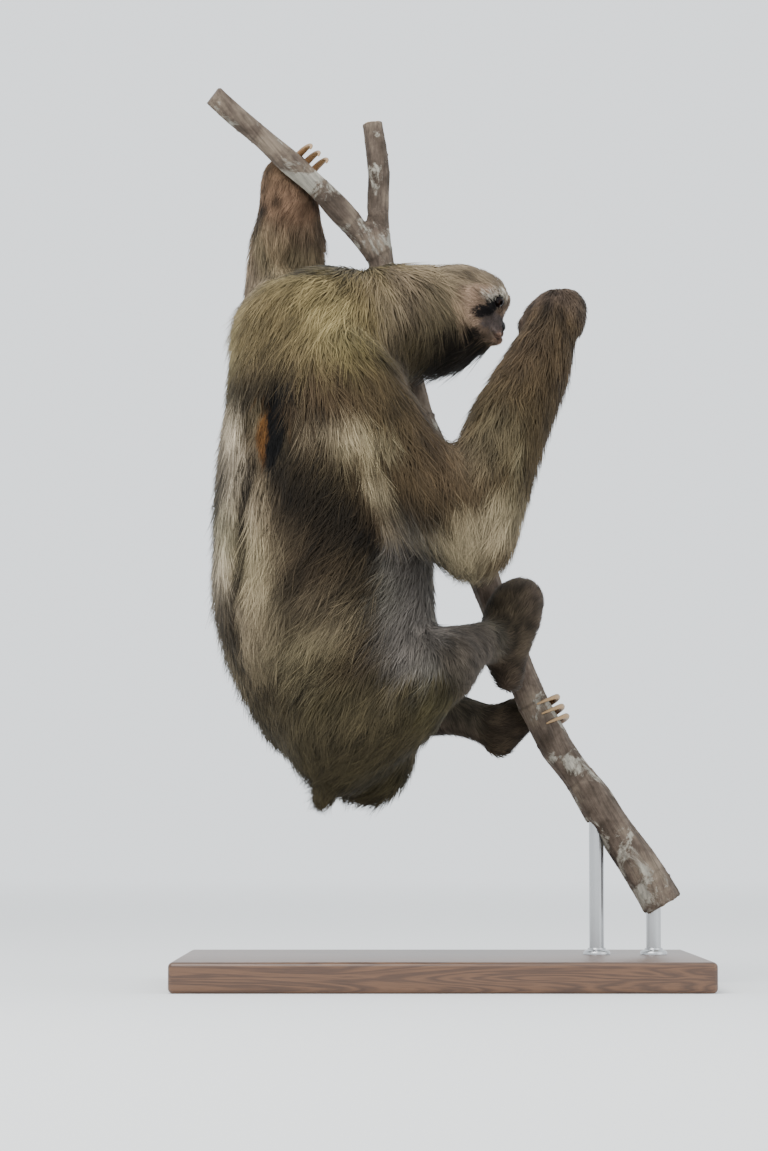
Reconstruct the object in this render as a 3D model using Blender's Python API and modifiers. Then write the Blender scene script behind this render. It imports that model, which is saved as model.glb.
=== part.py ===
"""A brown-throated three-toed sloth, life size, clinging to a forked stem on a display stand.

Metres, +Z up, origin under the middle of the stand's base. The animal's back is turned towards -X
and -Y, and its face towards +X. Flesh and coat together are modelled whole, as balls swept along
the limbs and melted into one skin. Each named part is then lifted out of that whole with a
ball-ended sleeve, which leaves a thin ball joint between neighbours. The hard pieces are modelled
on their own and sit in seats cut into the flesh: eyes, nose and claws.
"""

import math

import bmesh
import bpy
import numpy as np
from mathutils import Matrix, Vector

# Driving dimensions, in metres. Radii include the coat.
TRUNK_R = 0.090
NECK_R = 0.050
HEAD_HALF_WIDTH = 0.041
ARM_R = 0.042
WRIST_R = 0.024
LEG_R = 0.040
ANKLE_R = 0.018
STEM_R = 0.0130
BRANCH_R = 0.0100
CLAW_R = 0.0042
CLAW_TIP_R = 0.0008
CLAW_PITCH = 0.0088
CLAW_TAPER = 1.6
EYE_R = 0.0048
GAP = 0.0004
JOINT_GAP = 0.0009
SLEEVE_MARGIN = 0.006

BASE_SIZE = (0.420, 0.330, 0.024)
BASE_BEVEL = 0.004
ROD_R = 0.006
ROD_DEPTH = 0.012

# Mesh fineness: steps along paths, voxel sizes, triangle counts and merging distances.
SWEEP_STEP = 0.008
STEM_STEP = 0.030
BRANCH_STEP = 0.024
FINE_STEP = 0.004
CLAW_STEPS = 8
WELD = 1e-5
SLIVER = 1e-6
SKIN_VOXEL = 0.0045
SLEEVE_VOXEL = 0.0075
SKIN_TRIANGLES = 4600
SLEEVE_TRIANGLES = 240
SKIN_SMOOTHING = 6
SLEEVE_SMOOTHING = 2
KEPT_AFTER_CUTS = 0.48

# The head's own axes: forward through the nose, out of its left cheek, and up through the crown.
HEAD_YAW = math.radians(-8)
HEAD_PITCH = math.radians(28)
HEAD = Vector((0.0245, 0.000, 0.5613))
FORWARD = Vector((
    math.cos(HEAD_YAW) * math.cos(HEAD_PITCH),
    math.sin(HEAD_YAW) * math.cos(HEAD_PITCH),
    -math.sin(HEAD_PITCH),
))
LEFTWARD = Vector((-math.sin(HEAD_YAW), math.cos(HEAD_YAW), 0))
CROWNWARD = FORWARD.cross(LEFTWARD)
HEAD_AXES = Matrix((FORWARD, LEFTWARD, CROWNWARD)).transposed()

# Paths of the body: (centre, radius) stations, each list running outwards from the trunk.
TRUNK = [
    ((-0.102, -0.037, 0.520), 0.70 * TRUNK_R),
    ((-0.099, -0.045, 0.468), 0.84 * TRUNK_R),
    ((-0.098, -0.045, 0.412), 0.93 * TRUNK_R),
    ((-0.095, -0.045, 0.356), 0.99 * TRUNK_R),
    ((-0.093, -0.045, 0.308), 1.00 * TRUNK_R),
    ((-0.083, -0.045, 0.260), 0.90 * TRUNK_R),
    ((-0.074, -0.041, 0.222), 0.71 * TRUNK_R),
    ((-0.063, -0.039, 0.190), 0.50 * TRUNK_R),
    ((-0.056, -0.039, 0.172), 0.32 * TRUNK_R),
]
NECK = [
    ((-0.092, -0.035, 0.522), 1.12 * NECK_R),
    ((-0.044, -0.020, 0.537), 1.04 * NECK_R),
    ((-0.008, -0.009, 0.541), 0.90 * NECK_R),
]
TAIL = [
    ((-0.078, -0.062, 0.178), 0.018),
    ((-0.090, -0.078, 0.160), 0.014),
    ((-0.094, -0.084, 0.148), 0.010),
]
UPPER_ARM_R = [
    ((-0.076, -0.083, 0.480), 1.04 * ARM_R),
    ((-0.035, -0.100, 0.421), 0.94 * ARM_R),
    ((0.001, -0.109, 0.377), 0.94 * ARM_R),
    ((0.026, -0.110, 0.355), 0.83 * ARM_R),
]
FOREARM_R = [
    ((0.028, -0.110, 0.354), 0.80 * ARM_R),
    ((0.038, -0.103, 0.396), 0.84 * ARM_R),
    ((0.053, -0.087, 0.444), 0.84 * ARM_R),
    ((0.076, -0.067, 0.492), 1.26 * WRIST_R),
    ((0.091, -0.049, 0.528), 1.11 * WRIST_R),
]
HAND_R = [
    ((0.0975, -0.042, 0.541), 0.97 * WRIST_R),
    ((0.088, -0.035, 0.540), 0.80 * WRIST_R),
    ((0.076, -0.029, 0.533), 0.62 * WRIST_R),
]
UPPER_ARM_L = [
    ((-0.134, -0.005, 0.526), 0.88 * ARM_R),
    ((-0.132, 0.050, 0.552), 0.82 * ARM_R),
    ((-0.130, 0.100, 0.576), 0.75 * ARM_R),
]
FOREARM_L = [
    ((-0.131, 0.101, 0.580), 0.74 * ARM_R),
    ((-0.126, 0.082, 0.612), 1.32 * WRIST_R),
    ((-0.124, 0.062, 0.640), 1.12 * WRIST_R),
]
HAND_L = [
    ((-0.124, 0.055, 0.650), 1.04 * WRIST_R),
    ((-0.126, 0.048, 0.664), 0.92 * WRIST_R),
    ((-0.120, 0.044, 0.676), 0.60 * WRIST_R),
]
THIGH_R = [
    ((-0.078, -0.078, 0.204), 1.14 * LEG_R),
    ((-0.034, -0.085, 0.228), 1.00 * LEG_R),
    ((0.000, -0.085, 0.254), 0.76 * LEG_R),
]
SHIN_R = [
    ((0.002, -0.084, 0.257), 0.72 * LEG_R),
    ((0.026, -0.045, 0.273), 1.06 * ANKLE_R),
    ((0.046, -0.010, 0.279), 1.02 * ANKLE_R),
]
FOOT_R = [
    ((0.056, 0.004, 0.246), 0.78 * ANKLE_R),
    ((0.054, -0.001, 0.272), 1.12 * ANKLE_R),
    ((0.059, -0.001, 0.298), 1.42 * ANKLE_R),
    ((0.066, 0.004, 0.312), 1.16 * ANKLE_R),
    ((0.073, 0.010, 0.316), 0.74 * ANKLE_R),
]
THIGH_L = [
    ((-0.108, -0.010, 0.222), 1.00 * LEG_R),
    ((-0.072, 0.040, 0.220), 0.96 * LEG_R),
    ((-0.030, 0.072, 0.228), 0.72 * LEG_R),
]
SHIN_L = [
    ((-0.028, 0.073, 0.228), 0.68 * LEG_R),
    ((0.012, 0.070, 0.222), 1.04 * ANKLE_R),
    ((0.044, 0.063, 0.212), 0.96 * ANKLE_R),
]
FOOT_L = [
    ((0.050, 0.062, 0.196), 0.78 * ANKLE_R),
    ((0.056, 0.061, 0.212), 1.06 * ANKLE_R),
    ((0.070, 0.063, 0.222), 0.92 * ANKLE_R),
    ((0.082, 0.060, 0.224), 0.66 * ANKLE_R),
]

# Broad round forms that a sweep can't give: (centre, radius).
SHOULDER_BLADES = [((-0.078, -0.080, 0.486), 0.044), ((-0.130, -0.020, 0.500), 0.046)]
THROAT = [((0.004, -0.007, 0.529), 0.037), ((0.027, -0.004, 0.525), 0.025)]

# The head's forms on its own axes: (forward, leftward, crownward) centre and half sizes.
HEAD_FORMS = [
    ((-0.002, 0, -0.006), (0.035, HEAD_HALF_WIDTH, 0.032)),
    ((0.0155, 0, 0.009), (0.0195, 0.028, 0.017)),
    ((0.011, 0, -0.010), (0.0205, 0.031, 0.024)),
    ((0.008, 0.019, -0.015), (0.020, 0.018, 0.020)),
    ((0.008, -0.019, -0.015), (0.020, 0.018, 0.020)),
    ((0.013, 0, -0.026), (0.020, 0.020, 0.014)),
    ((0.025, 0, -0.015), (0.0135, 0.0145, 0.0115)),
]
HEAD_SLEEVE = [((-0.010, 0, -0.006), 0.036), ((0.006, 0, -0.006), 0.036)]
EYE_AT = Vector((0.0275, 0.0165, 0.0045))
NOSE_AT = Vector((0.0360, 0, -0.0120))
NOSE_HALF = (0.0042, 0.0072, 0.0052)

# The stem leans to the right as it comes down; the branch forks off it to the upper left.
STEM = [
    ((0.182, 0.021, 0.064), 1.30 * STEM_R),
    ((0.160, 0.023, 0.100), 1.24 * STEM_R),
    ((0.128, 0.025, 0.148), 1.14 * STEM_R),
    ((0.096, 0.029, 0.192), 1.04 * STEM_R),
    ((0.077, 0.032, 0.228), 1.00 * STEM_R),
    ((0.059, 0.035, 0.276), 1.00 * STEM_R),
    ((0.046, 0.037, 0.308), 0.98 * STEM_R),
    ((0.017, 0.043, 0.388), 0.96 * STEM_R),
    ((-0.002, 0.047, 0.436), 0.94 * STEM_R),
    ((-0.016, 0.051, 0.468), 0.94 * STEM_R),
    ((-0.034, 0.055, 0.532), 0.94 * STEM_R),
    ((-0.047, 0.055, 0.588), 0.92 * STEM_R),
    ((-0.050, 0.051, 0.628), 0.78 * STEM_R),
    ((-0.049, 0.047, 0.668), 0.70 * STEM_R),
    ((-0.055, 0.045, 0.712), 0.68 * STEM_R),
]
BRANCH = [
    ((-0.047, 0.055, 0.594), 1.00 * BRANCH_R),
    ((-0.072, 0.045, 0.628), 1.00 * BRANCH_R),
    ((-0.096, 0.035, 0.652), 1.00 * BRANCH_R),
    ((-0.122, 0.025, 0.674), 1.00 * BRANCH_R),
    ((-0.146, 0.015, 0.694), 0.96 * BRANCH_R),
    ((-0.168, 0.006, 0.711), 0.92 * BRANCH_R),
    ((-0.185, 0.000, 0.725), 0.90 * BRANCH_R),
]
ROD_X = (0.128, 0.174)

# Claws that hook round a stem, each in a plane square to the stem's axis: the stem, the height on
# it, the bearing of the roots from its axis, the degrees they turn through, the radius of the hook
# and how far the hook's centre lies from the axis.
HOOKS = {
    "hand_l": (
        BRANCH, 0.668, (-0.646, 0.805, -0.254), -165, 0.0190, (0.0026, -0.0014, 0.0020)
    ),
    "foot_r": (STEM, 0.305, (0.55, -0.84, 0.0), 178, 0.0225, (0.0058, -0.0048, 0.0)),
    "foot_l": (STEM, 0.216, (-0.10, 1.00, 0.0), -178, 0.0225, (-0.0010, 0.0074, 0.0)),
}
# The free claws of the right hand: root and tip of the middle one, its bow, and the step between.
FREE_CLAWS = ((0.080, -0.030, 0.531), (0.066, 0.010, 0.503), (0.004, 0.0, 0.010),
              (0.0060, 0.0008, -0.0050))


def clear_scene():
    for obj in list(bpy.data.objects):
        bpy.data.objects.remove(obj)


def material(name, colour, roughness, metallic=0.0):
    made = bpy.data.materials.new(name)
    made.use_nodes = True
    shader = made.node_tree.nodes["Principled BSDF"]
    shader.inputs["Base Color"].default_value = (*colour, 1)
    shader.inputs["Roughness"].default_value = roughness
    shader.inputs["Metallic"].default_value = metallic
    return made


def new_object(name, mesh, collection):
    obj = bpy.data.objects.new(name, mesh)
    collection.objects.link(obj)
    return obj


def baked(obj):
    """Replaces the object's mesh with what its modifiers make of it."""
    graph = bpy.context.evaluated_depsgraph_get()
    mesh = bpy.data.meshes.new_from_object(obj.evaluated_get(graph))
    obj.modifiers.clear()
    obj.data = mesh
    return obj


def smooth_path(stations, step):
    """Catmull-Rom points through the stations, about a step apart: (centre, radius) each."""
    rows = np.array([[*centre, radius] for centre, radius in stations])
    rows = np.vstack([2 * rows[0] - rows[1], rows, 2 * rows[-1] - rows[-2]])
    found = []
    for before, start, end, after in zip(rows, rows[1:], rows[2:], rows[3:]):
        count = max(1, round(float(np.linalg.norm((end - start)[:3])) / step))
        for t in np.arange(count) / count:
            found.append(0.5 * (
                2 * start + (end - before) * t
                + (2 * before - 5 * start + 4 * end - after) * t ** 2
                + (3 * start - before - 3 * end + after) * t ** 3
            ))
    found.append(rows[-2])
    return [(Vector(row[:3]), float(row[3])) for row in found]


def add_ball(mesh, centre, half_sizes, axes=Matrix.Identity(3)):
    """An ellipsoid of these half sizes along the given axes, added to the bmesh."""
    place = Matrix.Translation(centre) @ axes.to_4x4() @ Matrix.Diagonal((*half_sizes, 1))
    bmesh.ops.create_icosphere(mesh, subdivisions=3, radius=1, matrix=place)


def add_sweep(mesh, stations, grow=0.0):
    for centre, radius in smooth_path(stations, SWEEP_STEP):
        add_ball(mesh, centre, (radius + grow,) * 3)


def melted(name, mesh, voxel, triangles, smoothing, collection):
    """The overlapping balls of a bmesh as one smooth closed skin of about that many triangles."""
    data = bpy.data.meshes.new(name)
    mesh.to_mesh(data)
    mesh.free()
    obj = new_object(name, data, collection)
    remesh = obj.modifiers.new("Melt", "REMESH")
    remesh.mode = "VOXEL"
    remesh.voxel_size = voxel
    soften = obj.modifiers.new("Soften", "SMOOTH")
    soften.factor = 0.5
    soften.iterations = smoothing
    baked(obj)
    obj.data.calc_loop_triangles()
    thin = obj.modifiers.new("Thin", "DECIMATE")
    thin.ratio = min(1.0, triangles / len(obj.data.loop_triangles))
    return baked(obj)


def drop_crumbs(obj):
    """Deletes the slivers that a cut leaves beside the main body."""
    mesh = bmesh.new()
    mesh.from_mesh(obj.data)
    left = set(mesh.verts)
    islands = []
    while left:
        island, edge = set(), [left.pop()]
        while edge:
            vert = edge.pop()
            island.add(vert)
            for link in vert.link_edges:
                other = link.other_vert(vert)
                if other in left:
                    left.remove(other)
                    edge.append(other)
        islands.append(island)
    for island in sorted(islands, key=len)[:-1]:
        bmesh.ops.delete(mesh, geom=list(island), context="VERTS")
    bmesh.ops.triangulate(mesh, faces=mesh.faces)
    bmesh.ops.dissolve_degenerate(mesh, dist=SLIVER, edges=mesh.edges)
    mesh.to_mesh(obj.data)
    mesh.free()
    return obj


def boolean(obj, other, operation):
    cut = obj.modifiers.new(operation.title(), "BOOLEAN")
    cut.operation = operation
    cut.object = other
    return baked(obj)


def inflated(obj, distance):
    """The object's mesh pushed outwards along its normals."""
    normals = np.empty(len(obj.data.vertices) * 3)
    places = np.empty_like(normals)
    obj.data.vertices.foreach_get("normal", normals)
    obj.data.vertices.foreach_get("co", places)
    obj.data.vertices.foreach_set("co", places + normals * distance)
    obj.data.update()
    return obj


def thinned(obj, ratio):
    """Merges the slivers that the cuts left, where they matter least to the shape."""
    thin = obj.modifiers.new("Thin", "DECIMATE")
    thin.ratio = ratio
    return drop_crumbs(baked(obj))


def helper(obj):
    obj.hide_render = True
    obj.display_type = "WIRE"
    return obj


def lift_out(name, body, stations, parts, cutters, balls=()):
    """Takes the stretch of the body along these stations out of it, as a part of its own."""
    mesh = bmesh.new()
    add_sweep(mesh, stations, SLEEVE_MARGIN)
    for centre, half_sizes, axes in balls:
        add_ball(mesh, centre, [half + SLEEVE_MARGIN for half in half_sizes], axes)
    sleeve = melted(
        f"sleeve_{name}", mesh, SLEEVE_VOXEL, SLEEVE_TRIANGLES, SLEEVE_SMOOTHING, cutters
    )
    helper(sleeve)
    part = new_object(name, body.data.copy(), parts)
    boolean(part, sleeve, "INTERSECT")
    inflated(sleeve, JOINT_GAP)
    boolean(body, sleeve, "DIFFERENCE")
    drop_crumbs(part)
    drop_crumbs(body)
    return part


def tube(name, stations, grow, collection, sides=2):
    """A closed tube through the stations, from a bevelled curve."""
    curve = bpy.data.curves.new(name, "CURVE")
    curve.dimensions = "3D"
    curve.bevel_depth = 1
    curve.bevel_resolution = sides
    curve.use_fill_caps = True
    spline = curve.splines.new("POLY")
    spline.points.add(len(stations) - 1)
    for point, (centre, radius) in zip(spline.points, stations):
        point.co = (*centre, 1)
        point.radius = radius + grow
    bent = new_object(name, curve, collection)
    graph = bpy.context.evaluated_depsgraph_get()
    data = bpy.data.meshes.new_from_object(bent.evaluated_get(graph))
    bpy.data.objects.remove(bent)
    mesh = bmesh.new()
    mesh.from_mesh(data)
    bmesh.ops.remove_doubles(mesh, verts=mesh.verts, dist=WELD)
    bmesh.ops.recalc_face_normals(mesh, faces=mesh.faces)
    mesh.to_mesh(data)
    mesh.free()
    return new_object(name, data, collection)


def head_point(place):
    return HEAD + HEAD_AXES @ Vector(place)


def whole_animal(cutters):
    mesh = bmesh.new()
    for stations in (
        TRUNK, NECK, TAIL, UPPER_ARM_R, FOREARM_R, HAND_R, UPPER_ARM_L, FOREARM_L, HAND_L,
        THIGH_R, SHIN_R, FOOT_R, THIGH_L, SHIN_L, FOOT_L,
    ):
        add_sweep(mesh, stations)
    for centre, radius in SHOULDER_BLADES + THROAT:
        add_ball(mesh, centre, (radius,) * 3)
    for centre, half_sizes in HEAD_FORMS:
        add_ball(mesh, head_point(centre), half_sizes, HEAD_AXES)
    return melted("trunk", mesh, SKIN_VOXEL, SKIN_TRIANGLES, SKIN_SMOOTHING, cutters)


def perch(grow, name, collection):
    """The forked stem as one solid, grown by a clearance where it serves as a cutter."""
    stem = tube(name, smooth_path(STEM, STEM_STEP), grow, collection)
    branch = tube(name + "_branch", smooth_path(BRANCH, BRANCH_STEP), grow, collection)
    boolean(stem, branch, "UNION")
    bpy.data.objects.remove(branch)
    return stem


def stem_at(stations, height):
    """The point and the direction of a stem's axis at this height."""
    path = [centre for centre, _ in smooth_path(stations, FINE_STEP)]
    near = min(range(1, len(path) - 1), key=lambda i: abs(path[i].z - height))
    return path[near], (path[near + 1] - path[near - 1]).normalized()


def hooked_claws(stations, height, bearing, degrees, radius, shift):
    """Three claw paths, roots first, that hook round a stem side by side."""
    point, axis = stem_at(stations, height)
    bearing = Vector(bearing)
    out = (bearing - axis * bearing.dot(axis)).normalized()
    side = axis.cross(out)
    for row in (-1, 0, 1):
        centre = point + axis * row * CLAW_PITCH + Vector(shift)
        yield [
            centre + radius * (math.cos(angle) * out + math.sin(angle) * side)
            for angle in np.linspace(0, math.radians(degrees), CLAW_STEPS)
        ]


def free_claws(root, tip, bow, step):
    """Three claw paths side by side, roots first, bowed out between root and tip."""
    root, tip, bow, step = (Vector(value) for value in (root, tip, bow, step))
    for row in (-1, 0, 1):
        yield [
            root.lerp(tip, t) + bow * 4 * t * (1 - t) + step * row
            for t in np.linspace(0, 1, CLAW_STEPS)
        ]


def claw_paths():
    """The claws of each hand and foot, roots first: {name: path}."""
    groups = {limb: hooked_claws(*hook) for limb, hook in HOOKS.items()}
    groups["hand_r"] = free_claws(*FREE_CLAWS)
    return {
        f"claw_{limb}_{number}": path
        for limb, paths in groups.items()
        for number, path in enumerate(paths, 1)
    }


def claw(name, path, grow, collection):
    """A tapering horn hook, a little deeper than it is wide."""
    steps = len(path) - 1
    stations = [
        (place, CLAW_R + (CLAW_TIP_R - CLAW_R) * (i / steps) ** CLAW_TAPER)
        for i, place in enumerate(path)
    ]
    return tube(name, stations, grow, collection, sides=1)


def ball(name, centre, half_sizes, axes, grow, collection):
    mesh = bmesh.new()
    place = Matrix.Translation(centre) @ axes.to_4x4()
    place @= Matrix.Diagonal((*[half + grow for half in half_sizes], 1))
    bmesh.ops.create_uvsphere(mesh, u_segments=12, v_segments=8, radius=1, matrix=place)
    data = bpy.data.meshes.new(name)
    mesh.to_mesh(data)
    mesh.free()
    return new_object(name, data, collection)


def set_into(hosts, name, make, parts, cutters):
    """Makes a hard piece and cuts the seat that it sits in, with a clearance, out of its hosts."""
    piece = make(name, 0.0, parts)
    seat = helper(make("seat_" + name, GAP, cutters))
    for host in hosts:
        boolean(host, seat, "DIFFERENCE")
        drop_crumbs(host)
    return piece


def cylinder(name, x, y, low, high, radius, collection):
    mesh = bmesh.new()
    bmesh.ops.create_cone(
        mesh, cap_ends=True, segments=20, radius1=radius, radius2=radius, depth=high - low,
        matrix=Matrix.Translation((x, y, (low + high) / 2)),
    )
    data = bpy.data.meshes.new(name)
    mesh.to_mesh(data)
    mesh.free()
    return new_object(name, data, collection)


def base_plate(collection):
    mesh = bmesh.new()
    place = Matrix.Translation((0, 0, BASE_SIZE[2] / 2)) @ Matrix.Diagonal((*BASE_SIZE, 1))
    bmesh.ops.create_cube(mesh, size=1, matrix=place)
    data = bpy.data.meshes.new("stand_base")
    mesh.to_mesh(data)
    mesh.free()
    plate = new_object("stand_base", data, collection)
    bevel = plate.modifiers.new("Eased edges", "BEVEL")
    bevel.width = BASE_BEVEL
    bevel.segments = 1
    return baked(plate)


def build():
    clear_scene()
    parts = bpy.data.collections.new("sloth")
    cutters = bpy.data.collections.new("cutters")
    for collection in (parts, cutters):
        bpy.context.scene.collection.children.link(collection)
    coat = material("coat", (0.105, 0.083, 0.056), 0.85)
    horn = material("claw_horn", (0.52, 0.40, 0.26), 0.4)
    hide = material("nose_hide", (0.012, 0.010, 0.010), 0.35)
    eyeball = material("eyeball", (0.015, 0.009, 0.006), 0.08)
    bark = material("bark", (0.24, 0.20, 0.15), 0.8)
    steel = material("rod_steel", (0.55, 0.55, 0.56), 0.3, 1.0)
    walnut = material("base_walnut", (0.10, 0.055, 0.03), 0.5)

    body = whole_animal(cutters)
    perch_cutter = helper(perch(GAP, "perch_cutter", cutters))
    boolean(body, perch_cutter, "DIFFERENCE")
    drop_crumbs(body)

    flesh = {}
    for name, stations in (
        ("hand_r", HAND_R), ("forearm_r", FOREARM_R), ("upper_arm_r", UPPER_ARM_R),
        ("hand_l", HAND_L), ("forearm_l", FOREARM_L), ("upper_arm_l", UPPER_ARM_L),
        ("foot_r", FOOT_R), ("shin_r", SHIN_R), ("thigh_r", THIGH_R),
        ("foot_l", FOOT_L), ("shin_l", SHIN_L), ("thigh_l", THIGH_L), ("tail", TAIL[1:]),
    ):
        flesh[name] = lift_out(name, body, stations, parts, cutters)
    head_balls = [(head_point(c), halves, HEAD_AXES) for c, halves in HEAD_FORMS]
    head_path = [(head_point(centre), radius) for centre, radius in HEAD_SLEEVE]
    flesh["head"] = lift_out("head", body, head_path, parts, cutters, head_balls)
    throat = [(centre, (radius,) * 3, Matrix.Identity(3)) for centre, radius in THROAT]
    flesh["neck"] = lift_out("neck", body, NECK[1:], parts, cutters, throat)
    cutters.objects.unlink(body)
    parts.objects.link(body)
    flesh["trunk"] = body
    for obj in flesh.values():
        thinned(obj, KEPT_AFTER_CUTS)

    for name, path in claw_paths().items():
        limb = name[len("claw_"):-2]
        hosts = [flesh[limb]]
        piece = set_into(
            hosts, name,
            lambda n, grow, where, path=path: claw(n, path, grow, where), parts, cutters,
        )
        piece.data.materials.append(horn)
    for name, sign in (("eye_r", -1), ("eye_l", 1)):
        centre = head_point((EYE_AT.x, sign * EYE_AT.y, EYE_AT.z))
        piece = set_into(
            [flesh["head"]], name,
            lambda n, grow, where, c=centre: ball(n, c, (EYE_R,) * 3, HEAD_AXES, grow, where),
            parts, cutters,
        )
        piece.data.materials.append(eyeball)
    nose = set_into(
        [flesh["head"]], "nose",
        lambda n, grow, where: ball(n, head_point(NOSE_AT), NOSE_HALF, HEAD_AXES, grow, where),
        parts, cutters,
    )
    nose.data.materials.append(hide)

    stem = perch(0.0, "perch_stem", parts)
    plate = base_plate(parts)
    for number, x in enumerate(ROD_X, 1):
        path = smooth_path(STEM, FINE_STEP)
        point, radius = min(path, key=lambda station: abs(station[0].x - x))
        top = point.z
        rod = cylinder(
            f"stand_rod_{number}", x, point.y, BASE_SIZE[2] - ROD_DEPTH, top, ROD_R, parts
        )
        seat = helper(cylinder(
            f"seat_rod_{number}", x, point.y, BASE_SIZE[2] - ROD_DEPTH - GAP, top + GAP,
            ROD_R + GAP, cutters,
        ))
        boolean(stem, seat, "DIFFERENCE")
        boolean(plate, seat, "DIFFERENCE")
        rod.data.materials.append(steel)
    drop_crumbs(stem)
    stem.data.materials.append(bark)
    plate.data.materials.append(walnut)
    for obj in flesh.values():
        obj.data.materials.clear()
        obj.data.materials.append(coat)
    for obj in parts.objects:
        obj.data.shade_smooth()
        obj.data.set_sharp_from_angle(angle=math.radians(40))


build()
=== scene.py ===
# %% [markdown]
# # A three-toed sloth on its stand
#
# The model is an adult male brown-throated sloth, life size, as a museum shows one: it grips a cut,
# forked stem, and two steel rods hold the stem over a walnut base. The solids of the animal are
# already there, out to the tips of its coat. What is missing is everything that the eye reads as a
# living thing: one skin without seams, lids and lips, and above all the hair.
#
# The frame holds those solids. Every place below is read from them, so nothing has to be fitted.

# %% Load the frame
import math

import bmesh
import bpy
import numpy as np
from mathutils import Matrix, Vector
from mathutils.bvhtree import BVHTree
from mathutils.kdtree import KDTree


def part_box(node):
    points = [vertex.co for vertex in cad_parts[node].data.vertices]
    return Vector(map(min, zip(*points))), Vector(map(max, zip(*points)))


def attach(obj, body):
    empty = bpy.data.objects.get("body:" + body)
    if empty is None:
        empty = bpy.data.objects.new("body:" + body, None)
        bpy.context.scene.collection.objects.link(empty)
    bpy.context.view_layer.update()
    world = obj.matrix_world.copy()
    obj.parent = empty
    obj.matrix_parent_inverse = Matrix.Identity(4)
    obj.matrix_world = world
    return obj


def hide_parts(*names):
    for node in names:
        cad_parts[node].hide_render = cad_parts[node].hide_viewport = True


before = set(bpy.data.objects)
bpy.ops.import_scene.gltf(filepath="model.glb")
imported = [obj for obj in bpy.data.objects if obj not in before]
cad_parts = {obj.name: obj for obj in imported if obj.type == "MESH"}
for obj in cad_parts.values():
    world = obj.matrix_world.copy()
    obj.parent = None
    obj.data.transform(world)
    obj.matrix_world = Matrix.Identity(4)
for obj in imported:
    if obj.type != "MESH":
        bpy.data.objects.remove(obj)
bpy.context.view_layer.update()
MM = 0.001
DOWN = np.array([0.0, 0.0, -1.0])

# %% [markdown]
# ## Small tools
#
# Colours are picked as sRGB hex values, as on a paint card, but a renderer mixes light and needs
# them linear. Meshes go through numpy, because a skin has some fifty thousand points and Python
# loops would crawl. One function adds a node, for shaders and for geometry alike.

# %% Colours, nodes and mesh arrays
def linear(colour):
    """An sRGB hex colour as linear red, green and blue."""
    channels = [int(colour[i:i + 2], 16) / 255 for i in (1, 3, 5)]
    return np.array([c / 12.92 if c <= 0.04045 else ((c + 0.055) / 1.055) ** 2.4 for c in channels])


def add_node(tree, kind, inputs=None, **settings):
    """Adds a node, sets its properties, and fills or links its inputs.

    A node given as an input stands for its first output.
    """
    node = tree.nodes.new(kind)
    for name, value in settings.items():
        setattr(node, name, value)
    for key, value in (inputs or {}).items():
        if isinstance(value, bpy.types.Node):
            value = value.outputs[0]
        if isinstance(value, bpy.types.NodeSocket):
            tree.links.new(value, node.inputs[key])
        else:
            node.inputs[key].default_value = value
    return node


def read_points(mesh, key):
    values = np.empty(len(mesh.vertices) * 3)
    mesh.vertices.foreach_get(key, values)
    return values.reshape(-1, 3)


def places_of(mesh):
    return read_points(mesh, "co")


def normals_of(mesh):
    return read_points(mesh, "normal")


def move_to(mesh, places):
    mesh.vertices.foreach_set("co", np.ascontiguousarray(places).ravel())
    mesh.update()


def unit(vectors):
    length = np.linalg.norm(vectors, axis=-1, keepdims=True)
    return vectors / np.maximum(length, 1e-9)


def blend(values, other, share):
    """Moves rows of values a share of the way to others."""
    share = share.reshape(len(values), -1)
    return values * (1 - share) + np.asarray(other) * share


def as_mesh(name, work):
    """Turns a bmesh into a mesh of its own."""
    mesh = bpy.data.meshes.new(name)
    work.to_mesh(mesh)
    work.free()
    return mesh


def new_piece(name, mesh):
    piece = bpy.data.objects.new(name, mesh)
    bpy.context.scene.collection.objects.link(piece)
    return piece


def dress(mesh, material, sharp=None):
    """One material and smooth shading. Edges over sharp degrees stay crisp."""
    mesh.materials.clear()
    mesh.materials.append(material)
    mesh.shade_smooth()
    if sharp:
        mesh.set_sharp_from_angle(angle=math.radians(sharp))


def applied(piece):
    """Turns what the modifiers make of a piece into its own mesh."""
    graph = bpy.context.evaluated_depsgraph_get()
    mesh = bpy.data.meshes.new_from_object(piece.evaluated_get(graph))
    piece.modifiers.clear()
    piece.data = mesh
    return piece


def remeshed(piece, voxel, smoothing):
    """Melts a piece's overlapping shells into one even skin of squares."""
    melt = piece.modifiers.new("Melt", "REMESH")
    melt.mode = "VOXEL"
    melt.voxel_size = voxel
    soften = piece.modifiers.new("Soften", "SMOOTH")
    soften.factor = 0.5
    soften.iterations = smoothing
    return applied(piece)


def merged_copy(node):
    """A CAD node's mesh as a bmesh, with the loose triangles of the import joined up again."""
    mesh = bmesh.new()
    mesh.from_mesh(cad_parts[node].data)
    bmesh.ops.remove_doubles(mesh, verts=mesh.verts, dist=1e-6)
    mesh.normal_update()
    return mesh


def middle(node):
    low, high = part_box(node)
    return np.array((low + high) / 2)


def long_axis(node, towards):
    """The direction of a node's length, pointing to the middle of another node."""
    places = places_of(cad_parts[node].data)
    axis = np.linalg.svd(places - places.mean(0), full_matrices=False)[2][0]
    return axis * np.sign(axis @ (middle(towards) - middle(node)))


# %% [markdown]
# ## Smooth chance
#
# Nothing on an animal has a ruled edge. A few crossed sine waves make a cheap smooth noise that is
# the same at every run. It roughens the outlines of the markings and varies the coat's tone.

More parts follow.
